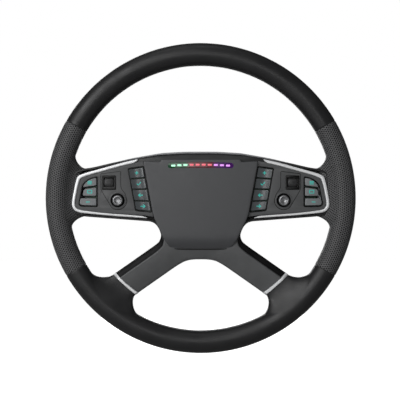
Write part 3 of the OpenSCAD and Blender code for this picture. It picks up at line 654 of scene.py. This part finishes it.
def hub_outline(count):
    """The hub with both upper spokes, clockwise from the top."""
    end = RIM_IN_R - 2
    half = [[20, HUB_TOP - 0.3], [51, HUB_TOP - 2], [89, HUB_TOP - 8.6], [141, 39.2], [150, 38.2],
            [end - 4, 34], [end - 1, 8], [end - 2, -20], [152, UPPER_LOW], [62, -30.4], [55.6, -36.2],
            [52.2, -43.5], [51, -49], [46.5, -58], [43.5, HUB_BOTTOM + 6], [36, HUB_BOTTOM + 0.2]]
    return even(rounded(both_sides(half), 7), count)


def back_level(x, z):
    """The housing's back: flat over the hub, sloping forward to the rim."""
    return BACK + np.interp(np.abs(x), [60, 90, 148, 175], [0, 1.2, 5.5, 20])


def rear_housing():
    """The open tray behind the panels, and the brow: a lip that thins out along the upper spokes."""
    outline = hub_outline(260)
    tray = crowned(outline, 6.0, back_level, FACE - 1.0, turn=7, rings=18, foot=1.4, floor=FACE - 17)
    piece("rear_shell", tray, "housing_plastic", hides=["rear_housing"])
    line = hub_outline(900)
    line = line[(np.abs(line[:, 0]) < 118) & (line[:, 1] > 40)]
    line = line[np.argsort(line[:, 0])]
    off = np.abs(line[:, 0])
    width = np.interp(off, [0, 50, 52, 75, 100, 118], [1.0, 1.0, 0.85, 0.75, 0.5, 0.12])
    fronts = [PAD_FRONT - 1.5, PAD_FRONT - 1.7, PAD_FRONT - 2.2, FACE + 1.2, FACE - 0.6]
    front = np.interp(off, [0, 50, 52, 90, 118], fronts)
    a = np.linspace(0, pi, 9)
    round_r, depth = 1.2, 9.0
    lip = np.column_stack([round_r * (np.cos(a) - 1), round_r * (np.sin(a) - 1)])
    lip = np.vstack([[0.0, -depth], lip, [-2 * round_r, -depth]])
    # The lip belongs to the black housing; its pale grey finish is a painted highlight of the light from
    # above
    piece("brow_lip", swept(line, lip, width, front, -0.1), "housing_plastic", BROW_LIP_HIGHLIGHT)


def pad_level(x, z):
    """The pad's face: a wide crown across, bending back below z = -54.5 along a soft line."""
    soft = 2.2
    below = soft * np.log1p(np.exp((-54.5 - z) / soft))
    return PAD_FRONT - 1.6 * (x / 76) ** 2 - 0.0002 * (z + 5) ** 2 - 0.62 * below


def hub_pad():
    """The crowned pad, and the sunk floor between it and the brow."""
    gap = 0.15
    half = [[51, 49.4], [52, 46.2], [pad_side(47.5) - gap, 47.5], [pad_side(-24) - gap, -24], [50, -46],
            [46.6, -54], [43, HUB_BOTTOM + 8], [39.5, HUB_BOTTOM + 3.5], [34.5, HUB_BOTTOM + 0.5]]
    corners = [1.2, 1.5, 2.5, 8, 8, 5, 4, 4, 8]
    outline = even(rounded(both_sides(half), corners + corners[::-1]), 300)
    face = crowned(outline, 1.1, pad_level, FACE - 3, turn=5, rings=26)
    piece("pad_face", face, "pad_soft", hides=["hub_pad"])
    high = HUB_TOP - 3
    edge = [[-84, 44], [-84, 51.5], [-51, high], [0, high + 1.5], [51, high], [84, 51.5], [84, 44]]
    level = lambda x, z: np.full(np.shape(x), FACE - 0.8)
    floor = crowned(even(rounded(edge, 1), 160), 0.3, level, FACE - 6, turn=2, rings=3)
    piece("brow_floor", floor, "housing_plastic", BROW_FLOOR)


def rev_lights():
    """A smoked window let into the pad, with ten lit segments along a shallow arc."""
    sag, pitch, half_seg = 1.1, 7.8, (2.7, 1.25)
    z_mid = (window_low[2] + window_high[2]) / 2
    a = np.linspace(0, 2 * pi, 96, endpoint=False)
    half_w, half_h = (window_high[0] - window_low[0]) / 2, (window_high[2] - window_low[2]) / 2
    x = (half_w - half_h) * np.clip(np.cos(a) * 6, -1, 1) + half_h * np.cos(a)
    z = z_mid + half_h * np.sin(a) + 0.5 - sag * (x / half_w) ** 2
    outline = even(np.stack([x, z], -1)[::-1], 120)
    window_level = lambda x, z: pad_level(x, z) + 0.25
    light_level = lambda x, z: pad_level(x, z) + 0.45
    window = crowned(outline, 0.5, window_level, PAD_FRONT - 3, turn=3, rings=4)
    piece("rev_window", window, "smoked_lens", hides=["rev_light_window"])
    for word, first, last in (("green", 0, 3), ("red", 3, 7), ("violet", 7, 10)):
        parts = []
        for i in range(first, last):
            x = (i - 4.5) * pitch
            corner = box_outline((x, z_mid + 0.6 - sag * (x / 35) ** 2), *half_seg, 0.9, 4)
            parts.append(crowned(corner, 0.3, light_level, PAD_FRONT - 2, turn=2, rings=3))
        piece(f"rev_segments_{word}", joined(parts), f"led_{word}", hides=[f"rev_lights_{word}"])


def trim_edge(count):
    """Outer edge of the right bright trim, from its upper tip to its lower end."""
    low, high = span("trim_right")
    x, top, bottom = high[0], high[2], low[2]
    points = np.array([
        [80.8, top - 0.1], [100, top - 4.2], [x - 16, top - 18.2], [x - 8.6, top - 21.2],
        [x - 6.0, top - 26], [x - 2.8, top - 41], [x, top - 57], [x - 1.6, top - 64],
        [x - 7.5, bottom + 7.6], [x - 46, bottom + 3.8], [69, bottom + 0.2],
    ])
    steps = 25
    arcs = rounded(points, [1, 8, 10, 6, 8, 12, 8, 6, 8, 10, 1], steps)[steps:-steps]
    return even(np.vstack([points[:1], arcs, points[-1:]]), count, closed=False)


def trims():
    """Bright C-shaped strips: a low arch carried along the panel's edge, tapering at both ends."""
    line = trim_edge(420)
    section = np.array([
        [0, -4], [0, -1.1], [-0.12, -0.75], [-0.4, -0.45], [-0.7, -0.3], [-1.6, -0.02], [-2.4, 0],
        [-2.9, -0.12], [-3.25, -0.45], [-3.45, -0.9], [-3.5, -1.3], [-3.5, -4],
    ])
    places = [0, 0.012, 0.03, 0.3, 0.36, 0.42, 0.6, 0.68, 0.97, 1.0]
    widths = [0.15, 0.7, 1.1, 1.12, 1.3, 1.12, 1.05, 0.85, 0.75, 0.25]
    width = np.interp(np.linspace(0, 1, len(line)), places, widths)
    for side, word in SIDES:
        strip = swept(mirrored(line, side), section, width[::side], np.array([FACE + 2]))
        piece(f"trim_strip_{word}", strip, "bright_trim", hides=[f"trim_{word}"])


def panel_outline():
    """The panel's face inside the trim, on the right."""
    edge = trim_edge(120)
    inner = (edge - outward(edge, closed=False) * 3.3)[4:-2]
    gap = 0.15
    return np.vstack([[[pad_side(47.6) + gap, 47.6]], inner, [[pad_side(-24.5) + gap, -24.3]]])


def column_opening():
    """The leaning slot round the four inner buttons of the right side, a little larger than them."""
    grow, column_w = 0.5, 19.3
    left, right = PAD_HALF_W + 1.5 - grow, PAD_HALF_W + 1.5 + column_w + grow
    corners = [(left, 40.3, grow), (right, 37.5, grow), (right, -15.5, -grow), (left, -17.5, -grow)]
    return rounded([[x + SLANT * z, z + up] for x, z, up in corners], 1.6)


def cluster_opening():
    """Outline of the three outer buttons of the right side, from their own front faces."""
    nodes = [node_outline(f"button_right_outer_{i}") for i in (1, 2, 3)]
    low = min(n[:, 0].min() for n in nodes)
    top, bottom, right = nodes[0][:, 1].max(), nodes[2][:, 1].min(), nodes[2][:, 0].max()
    points = [[low - 0.7, top + 0.8], [low + 7.4, top - 0.9], [low + 13.6, top - 4.4],
              [low + 18.4, top - 9.4], [right - 1.2, 0.6], [right + 0.7, bottom + 2.6],
              [right - 1.8, bottom - 0.4], [low - 0.7, bottom - 0.9]]
    return rounded(points, [1.6, 5, 5, 5, 4, 2, 2, 1.6])


def disc(centre, radius, count=48):
    """A circle that runs clockwise."""
    a = np.linspace(0, -2 * pi, count, endpoint=False)
    return np.stack([centre[0] + radius * np.cos(a), centre[1] + radius * np.sin(a)], -1)


def island_outline(stick, roller):
    """The field of the roller and the stick, whose step is drawn only as a black line of painted shade:
    straight sides above, closing round the stick.
    """
    bowl_r = 12
    a = np.radians(np.linspace(-50, -180, 12))
    bowl = np.stack([stick[0] + bowl_r * np.cos(a), stick[1] + bowl_r * np.sin(a)], -1)
    left, right = stick[0] - 3.8, roller[0] + 10.4
    upper = [[left - 5.7, 6.0], [left - 1, 11.5], [left, 16], [left, 34.5], [right, 31.2], [right, 11]]
    return even(rounded(np.vstack([upper, bowl]), [3, 4, 3, 1.2, 1.2, 3] + [1.5] * 12), 150)


def panels():
    """Button panels: a plate with openings, a black line of painted shade along the step round the roller
    and stick field, and black edgings round the controls.
    """
    stick, roller = middle("stick_cap_right"), middle("roller_right")
    column, cluster, island = column_opening(), cluster_opening(), island_outline(stick, roller)
    holes = (panel_outline(), column, cluster, box_outline(roller, 7.4, 8.0, 1.0), disc(stick, 8.9))
    bezel = (box_outline(roller, 8.9, 9.2, 1.2), box_outline(roller, 6.3, 5.4, 0.6))
    edge_in, edge_out = 8.85, 11.1
    ring = np.array([[edge_in, -3.5], [edge_in, 0.2], [9.3, 0.75], [10.2, 0.9], [10.9, 0.6],
                     [edge_out, -0.5], [edge_out, -3.5]])
    skirt = np.array([[5.4, -1.9], [5.3, -1.5], [5.6, -1.25], [7.0, -1.1], [8.4, -0.9], [8.95, -0.6],
                      [8.95, -1.9]])

    def grown(outline, out, inwards):
        """An outline moved outwards, and the same outline moved inwards."""
        return outline + outward(outline) * out, outline - outward(outline) * inwards

    for side, word in SIDES:

        def panel_plate(name, outlines, back, front, bevel, **settings):
            """A plate on this side, its levels measured from the face."""
            outlines = [mirrored(o, side) for o in outlines]
            plate(f"{name}_{word}", outlines, FACE + back, FACE + front, bevel, **settings)

        def round_piece(name, profile, count, finish=None):
            """A ring about this side's stick, its levels measured from the face."""
            rows = turned(profile + [0, FACE], count, (side * stick[0], stick[1]))
            piece(f"{name}_{word}", grid(rows, looped=True), "panel_plastic", finish)

        black = {"slot": "housing_plastic", "finish": BLACK_GLOSS}
        panel_plate("panel_face", holes, -3, 0, 0.35, slot="panel_plastic", hides=[f"button_panel_{word}"])
        # A thin black strip round the roller and stick field: painted shade standing for the shadowed wall
        # of its step
        panel_plate("panel_painted_shade_line", grown(island, 0.45, 0.35), -1, 0.06, 0.03, **black)
        panel_plate("roller_bezel", bezel, -1.2, 1.2, 0.5, **black)
        round_piece("stick_ring", ring, 72)
        round_piece("stick_skirt", skirt, 60, BLACK_GLOSS)
        panel_plate("button_liner_column", grown(column, 0.9, 0.35), -3, 0.45, 0.3, **black)
        panel_plate("button_liner_cluster", grown(cluster, 0.9, 0.35), -3, 0.45, 0.3, **black)


# ---- buttons

# Strokes of the generic signs, in mm from the cap's middle
SIGNS = {
    "left": [[[2.2, 0], [-2.2, 0]], [[-0.4, 1.7], [-2.4, 0], [-0.4, -1.7]]],
    "right": [[[-2.2, 0], [2.2, 0]], [[0.4, 1.7], [2.4, 0], [0.4, -1.7]]],
    "plus": [[[-1.8, 0], [1.8, 0]], [[0, -1.8], [0, 1.8]]],
    "minus": [[[-2.0, 0], [2.0, 0]]],
    "bars": [[[-2.2, z], [2.2, z]] for z in (1.3, 0, -1.3)],
    "box": [[[-2.2, 1.5], [2.2, 1.5]], [[2.2, 1.5], [2.2, -1.5]], [[2.2, -1.5], [-2.2, -1.5]],
            [[-2.2, -1.5], [-2.2, 1.5]]],
    "check": [[[-2.0, 0.2], [-0.5, -1.5], [2.2, 1.6]]],
}
SIGN_ORDER = {"outer": ["bars", "box", "minus"], "inner": ["plus", "check", "left", "right"]}


def sign(name, kind, centre, level, body):
    """A generic printed sign on a cap: each stroke a flat strip that follows the cap's face."""
    scale, ink_w, rise = 1.25, 1.05, 0.12
    parts = []
    for stroke in SIGNS[kind]:
        p = even(np.asarray(stroke) * scale + centre, max(6, len(stroke) * 3), closed=False)
        half = outward(p, closed=False) * ink_w / 2
        edges = ((p + half, -0.1), (p + half, rise), (p - half, rise), (p - half, -0.1))
        parts.append(grid(np.stack([lifted(q, level(*q.T) + up) for q, up in edges], 1)))
    piece(name, joined(parts), "button_cap", INK, body=body)


def buttons():
    """Caps with rounded edges: the inner column's are hollowed across, the outer ones a little domed."""
    hollow, dome = 2.1, 0.45
    for side, word in SIDES:
        for node in [n for n in frame["nodes"] if n.startswith(f"button_{word}_")]:
            low, high = span(node)
            outline = node_outline(node)
            kind, number = node.split("_")[2:]
            mid = (outline.max(0) + outline.min(0)) / 2
            half_w = (outline[:, 0].max() - outline[:, 0].min()) / 2

            def hollowed(x, z):
                across = ((x - mid[0]) * side - SLANT * (z - mid[1])) / half_w
                return high[1] - hollow * np.clip(1 - across**2, 0, 1)

            def domed(x, z):
                return high[1] - 0.3 - dome * ((x - mid[0]) / half_w) ** 2

            level, corner, finish = (hollowed, 1.6, SMOKED_CAP) if kind == "inner" else (domed, 2.0, None)
            smooth = even(rounded(outline, corner), 96)
            smooth = smooth - outward(smooth) * 0.4
            cap = crowned(smooth, 0.45, level, low[1] + 0.4, turn=3, rings=12)
            piece(f"cap_{node[7:]}", cap, "button_cap", finish, body=node, hides=[node])
            sign(f"sign_{node[7:]}", SIGN_ORDER[kind][int(number) - 1], mid, level, node)


# ---- rollers and sticks


def rollers():
    """Thumb rollers: a drum whose radius ripples into 26 ribs, with plain ends."""
    ribs, rib_h, half = 26, 0.35, 5.9
    for word in ("left", "right"):
        node = f"roller_{word}"
        low, high = span(node)
        x, z = middle(node)
        f = (low[1] + high[1]) / 2
        r = (high[2] - low[2]) / 2
        across = np.array([-half, -half, 0.5 - half, 1.2 - half, half - 1.2, half - 0.5, half, half])
        size = np.array([1.5, r - 0.9, r - 0.3, r, r, r - 0.3, r - 0.9, 1.5])
        ribbed = np.array([0, 0, 0, 1, 1, 0, 0, 0])
        a = np.linspace(0, 2 * pi, 260, endpoint=False)
        groove = -rib_h * (1 - np.abs(np.sin(a * ribs / 2)) ** 0.7)
        rad = size[:, None] + ribbed[:, None] * groove[None, :]
        rows = np.broadcast_arrays(x + across[:, None], f + rad * np.sin(a), z + rad * np.cos(a))
        piece(f"roller_drum_{word}", grid(np.stack(rows, -1)), "roller_rubber", body=node, hides=[node])


def sticks():
    """Thumb sticks: a cap with a rolled edge and a hollow dish for the thumb, on the node's own axis."""
    for word in ("left", "right"):
        node = f"stick_cap_{word}"
        low, high = span(node)
        r, front, back = (high[0] - low[0]) / 2, high[1], low[1]
        dish = [[0.01, 1.75], [1.6, 1.7], [2.8, 1.5], [3.6, 1.05], [4.1, 0.5], [4.4, 0.18], [4.75, 0.03],
                [5.1, 0], [5.6, 0.15], [6.1, 0.5], [r - 0.2, 1.15], [r, 1.8], [r - 0.3, 2.6]]
        neck = [[r - 1.2, back + 1.9], [3.4, back + 1.8], [3.4, back + 0.1], [1.95, back + 0.1],
                [1.95, front - 2.0]]
        cap = grid(turned([[radius, front - drop] for radius, drop in dish] + neck, 72, middle(node)))
        piece(f"stick_top_{word}", cap, "stick_grip", body=node, hides=[node], crease=50)


# ---- lower spokes


def blended(points, per_span=10, passes=10):
    """A line through a few points, softened by repeated averaging with its ends held."""
    p = np.asarray(points, float)
    t = np.linspace(0, len(p) - 1, (len(p) - 1) * per_span + 1)
    line = np.stack([np.interp(t, np.arange(len(p)), p[:, k]) for k in (0, 1)], -1)
    for _ in range(passes):
        line[1:-1] = (line[:-2] + 2 * line[1:-1] + line[2:]) / 4
    return line


def cover_lines():
    """Upper edge, crease and lower edge of the lower cover, from the right spoke's end to the left one's."""
    w = LOWER_W / 2
    fold = w - FACET_W
    high_end, low_end = spoke_end(BOOT_R - 3.6, w), spoke_end(BOOT_R - 3.6, -w)
    upper = [spoke_point(along, w) for along in (high_end, 80, 61)]
    upper += [[54.2, -57], [51.7, -51.5], [51.4, -45], [40, -44], [0, -44]]
    crease = [spoke_point(along, fold) for along in (high_end - 2.0, 80, 62)]
    crease += [[49.4, -62], [48.2, -57.5], [47.4, -50], [38, -47], [0, -47]]
    lower = [spoke_point(along, -w) for along in (low_end, 76, 50)]
    lower += [[20.5, -81.8], [14, -80.1], [8, -79.5], [4, -79.4], [0, -79.4]]
    halves = [blended(line) for line in (upper, crease, lower)]
    return [np.vstack([line, (line[::-1] * [-1, 1])[1:]]) for line in halves]


def cover_rings(start, end, profile):
    """Closed loops across a cover: (share, shift, f) lies that share of the way over, and shift mm on."""
    way = end - start
    unit = way / np.linalg.norm(way, axis=1, keepdims=True)
    return grid(np.stack([lifted(start + way * share + unit * shift, f) for share, shift, f in profile], 1))


def quarter(radius, level, steps=5, falling=True):
    """A rounded edge as (shift, f): a quarter circle that ends radius lower and radius further on."""
    a = np.linspace(0, pi / 2, steps)
    points = [(radius * sin(t), level - radius * (1 - cos(t))) for t in a]
    return points if falling else [(radius - x, f) for x, f in points][::-1]


def lower_cover():
    """The lower spokes' front skin with its black upper facet, and the back cover with rounded edges.

    Near the hub the back cover swells rearwards by ROOT_RISE along a smooth step, over the armature's arms.
    """
    upper, crease, lower = cover_lines()
    split = span("lower_cover_front")[0][1]
    top = span("lower_cover_front")[1][1] - 0.4
    facet_low, facet_high = top - 6.5, top - 1.0
    facet = [(0, 0, split), (0, 0, facet_low - 1.2), (0, 0.2, facet_low - 0.5), (0, 0.7, facet_low)]
    facet += [(t, 0, facet_low + (facet_high - facet_low) * t) for t in (0.25, 0.5, 0.75)]
    facet += [(1, -0.2, facet_high), (1, -0.2, split)]
    piece("spoke_cover_facet", cover_rings(upper, crease, facet), "cover_plastic", FACET_SKIN, crease=28)
    fall, crown, soft = 4.2, 1.1, 2.0
    face = [(0, 0, split)] + [(0, x, f) for x, f in quarter(1.5, top, falling=False)]
    face += [(t, 0, top - fall * t + crown * sin(pi * t)) for t in np.linspace(0.08, 0.93, 12)]
    face += [(1, x - soft, f) for x, f in quarter(soft, top - fall, 6)] + [(1, 0, split)]
    piece("spoke_cover_front", cover_rings(crease, lower, face), "cover_plastic",
          hides=["lower_cover_front"], crease=40)
    back, edge = span("lower_cover_back")[0][1], 5.0
    under = [(0, 0, split)] + [(0, x, 2 * back - f) for x, f in quarter(edge, back, 6, falling=False)]
    under += [(t, 0, back) for t in np.linspace(0.2, 0.8, 7)]
    under += [(1, x - edge, 2 * back - f) for x, f in quarter(edge, back, 6)] + [(1, 0, split)]
    points, faces, loops = cover_rings(upper, lower, under)
    reach, fade = 58, 24
    near_hub = np.clip((reach - np.abs(points[:, 0])) / fade, 0, 1)
    share_back = (split - points[:, 1]) / (split - back)
    points[:, 1] -= ROOT_RISE * near_hub**2 * (3 - 2 * near_hub) * share_back
    cover = (points, faces, loops)
    piece("spoke_cover_back", cover, "housing_plastic", hides=["lower_cover_back"], crease=30)


def spoke_trims():
    """A bright strip across the end of each lower spoke, with the spoke's own facet and crown."""
    w = LOWER_W / 2
    fold = w - FACET_W
    offs = np.linspace(fold - 1, -w + 2, 10)
    marks = [(w + 0.2, -7.0), (w - 1, -6.0), (fold, 0.3)]
    marks += [(off, 0.5 + 0.5 * sin(pi * (fold - off) / (fold + w))) for off in offs]
    marks += [(-w + 0.4, -0.8), (-w - 0.2, -3)]

    def strip_edge(radius):
        places = [(spoke_point(spoke_end(radius, off), off), rise) for off, rise in marks]
        return np.array([[p[0], FACE + rise, p[1]] for p, rise in places])

    a, b = strip_edge(BOOT_R - 4.3), strip_edge(BOOT_R - 0.3)
    sunk, low = np.array([0, -4, 0]), np.array([0, -0.5, 0])
    loop = np.stack([a + sunk, a + low, a + (b - a) * 0.16, b - (b - a) * 0.16, b + low, b + sunk], 1)
    for side, word in SIDES:
        piece(f"spoke_strip_{word}", grid(loop * [side, 1, 1]), "bright_trim", hides=[f"spoke_trim_{word}"])


# ---- quick release and fasteners


def release_collar():
    """The collar: a grip band of 36 shallow flutes between two plain shoulders, and a bored inside."""
    flutes, flute_h, mouth_r, bore_r, rear_r = 36, 1.1, 29.7, 24.2, 28.3
    low, high = (end[1] for end in span("release_collar"))
    outer = span("release_collar")[1][0]
    body = outer - 3.5
    profile = [[mouth_r, low], [outer - 0.8, low], [outer, low + 0.8], [outer, low + 6],
               [outer - 0.6, low + 6.8], [body, low + 8.6], [body, low + 10], [body, low + 11],
               [body, high - 5], [body, high - 4], [body, high - 1], [body - 0.8, high], [rear_r, high],
               [rear_r, high - 8.9], [bore_r, high - 9], [bore_r, low + 23.6], [mouth_r, low + 1.5]]
    fluted = np.zeros((len(profile), 1))
    fluted[7:9] = 1
    count = 12 * flutes
    a = np.linspace(0, 2 * pi, count, endpoint=False)
    groove = -flute_h * np.maximum(0, np.cos(a * flutes)) ** 2
    rows = turned(profile, count, ripple=fluted * groove)
    piece("collar_sleeve", grid(rows, looped=True), "collar_metal", body="release_collar",
          hides=["release_collar"], crease=40)


def screw(centre, radius, under, top):
    """A domed head with a six-sided socket: the hexagon's radius is its flat's distance over a cosine."""
    a = np.linspace(0, 2 * pi, 48, endpoint=False)
    hexagon = cos(pi / 6) / np.cos((a % (pi / 3)) - pi / 6)
    key = radius * 0.5
    steps = [(radius, 0, 1), (radius, 0.35, 1), (radius * 0.93, 0.72, 1), (radius * 0.75, 0.95, 1),
             (key * 1.12, 1.0, hexagon), (key, 0.98, hexagon), (key * 0.98, 0.3, hexagon)]
    rows = []
    for r, share, shape in steps:
        f = np.full(len(a), under + (top - under) * share)
        rows.append(np.stack([centre[0] + r * shape * np.cos(a), f, centre[1] + r * shape * np.sin(a)], -1))
    return grid(rows)


def spring():
    """The collar's spring: 1.4 mm wire in a helix of five turns."""
    low, high = span("collar_spring")
    wire_r, whole = 0.7, 5 * 2 * pi
    a = np.linspace(0, whole, 260)[:, None]
    k = np.linspace(0, 2 * pi, 14, endpoint=False)[None, :]
    radius = high[0] - wire_r + wire_r * np.cos(k)
    f = low[1] + wire_r + (high[1] - low[1] - 2 * wire_r) * a / whole + wire_r * np.sin(k)
    rows = np.stack([radius * np.cos(a), f, radius * np.sin(a)], -1)
    coil = piece("spring_coil", grid(rows), "spring_steel", hides=["collar_spring"])
    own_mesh(coil)


def contacts():
    """Eight sprung contact pins in the socket's floor, each with a round nose and a shoulder."""
    pins, ring_r = 8, 7
    tip = span("contact_block")[0][1]
    profile = [[0.01, 0], [0.45, 0.05], [0.8, 0.3], [0.95, 0.7], [0.95, 1.9], [1.35, 2.0], [1.5, 2.2],
               [1.5, 2.7]]
    profile = np.array(profile) + [0, tip]
    angles = np.arange(pins) * 2 * pi / pins
    parts = [grid(turned(profile, 24, (ring_r * cos(a), ring_r * sin(a)))) for a in angles]
    piece("contact_pins", joined(parts), "contact_plastic", GOLD, crease=50)


def fasteners():
    """Housing screws on the back: four heads where the CAD screws stand."""
    tip = span("small_screws")[0][1]
    heads = [screw(p, 2.6, BACK - 0.05, tip) for p in ((42, 26), (-42, 26), (30, -46), (-30, -46))]
    piece("housing_screw_heads", joined(heads), "screw_steel")


def paint_frame():
    """The CAD nodes that stay visible get the finish of their material slot."""
    slots = {s["node"]: s["material_slot"] for s in frame["record"]["subparts"]}
    for name, node in frame["nodes"].items():
        if not node.hide_render:
            node.data.materials.clear()
            node.data.materials.append(FINISH[slots[name]])


# ---- studio


def studio():
    """Pale floor, a large soft key from the upper left, weaker fills and a long lens square to the wheel."""
    scene = bpy.context.scene
    scene.view_settings.view_transform = "Standard"
    # Focal length and sensor in mm, and the width in metres that the picture takes in at the rim
    lens, sensor, picture_w = 100.0, 36.0, 0.5162
    camera_data = bpy.data.cameras.new("camera")
    camera_data.lens = lens
    camera_data.sensor_width = sensor
    camera = bpy.data.objects.new("camera", camera_data)
    camera.location = (-0.0009, -RIM_FWD / 1000 - picture_w * lens / sensor, -0.0025)
    camera.rotation_euler = (pi / 2, 0, 0)
    scene.collection.objects.link(camera)
    scene.camera = camera
    # Each light: its place and size in metres and its power in watts; it points at the rim's middle
    lights = (
        ("key", (-1.1, -1.85, 1.15), 1.3, 23.0),
        ("side", (-1.6, -1.8, 0.12), 0.7, 13.0),
        ("front", (-0.35, -2.6, 0.4), 0.8, 8.0),
        ("top", (-0.2, -0.35, 1.8), 0.9, 2.5),
        ("right", (1.7, -1.1, 0.2), 0.9, 1.8),
        ("back", (-0.4, 2.3, 0.35), 1.8, 40.0),
    )
    for name, spot, size, power in lights:
        data = bpy.data.lights.new(name, "AREA")
        data.size = size
        data.energy = power
        light = bpy.data.objects.new(name, data)
        light.location = spot
        x, y, z = -np.array(spot) + [0, -0.05, 0]
        light.rotation_euler = (atan2(hypot(x, y), -z), 0, atan2(y, x) - pi / 2)
        scene.collection.objects.link(light)
    world = bpy.data.worlds.new("studio")
    scene.world = world
    world.use_nodes = True
    sky = world.node_tree
    backdrop = sky.nodes["Background"]
    backdrop.inputs[0].default_value = (1, 1, 1, 1)
    seen = add(sky, "LightPath").outputs["Is Camera Ray"]
    level = add(sky, "MapRange", {"To Min": 0.07, "To Max": 1.0}, Value=seen)
    sky.links.new(level.outputs[0], backdrop.inputs[1])
    floor_mesh = bpy.data.meshes.new("floor")
    half, height = 6.0, -0.42
    corners = [(-half, -half, height), (half, -half, height), (half, half, height), (-half, half, height)]
    floor_mesh.from_pydata(corners, [], [(0, 1, 2, 3)])
    floor = bpy.data.objects.new("floor", floor_mesh)
    # Pale paper: matt, and white to the camera alone, so that it throws no light up at the wheel
    material, tree, shader = base(
        "floor_paper", Base_Color=colour("#9a9a9a"), Roughness=0.9, Emission_Color=colour("#ffffff")
    )
    seen = add(tree, "LightPath").outputs["Is Camera Ray"]
    tree.links.new(seen, shader.inputs["Emission Strength"])
    floor_mesh.materials.append(material)
    scene.collection.objects.link(floor)


studio()
rim()
rear_housing()
hub_pad()
rev_lights()
trims()
panels()
buttons()
rollers()
sticks()
lower_cover()
spoke_trims()
release_collar()
spring()
contacts()
fasteners()
paint_frame()
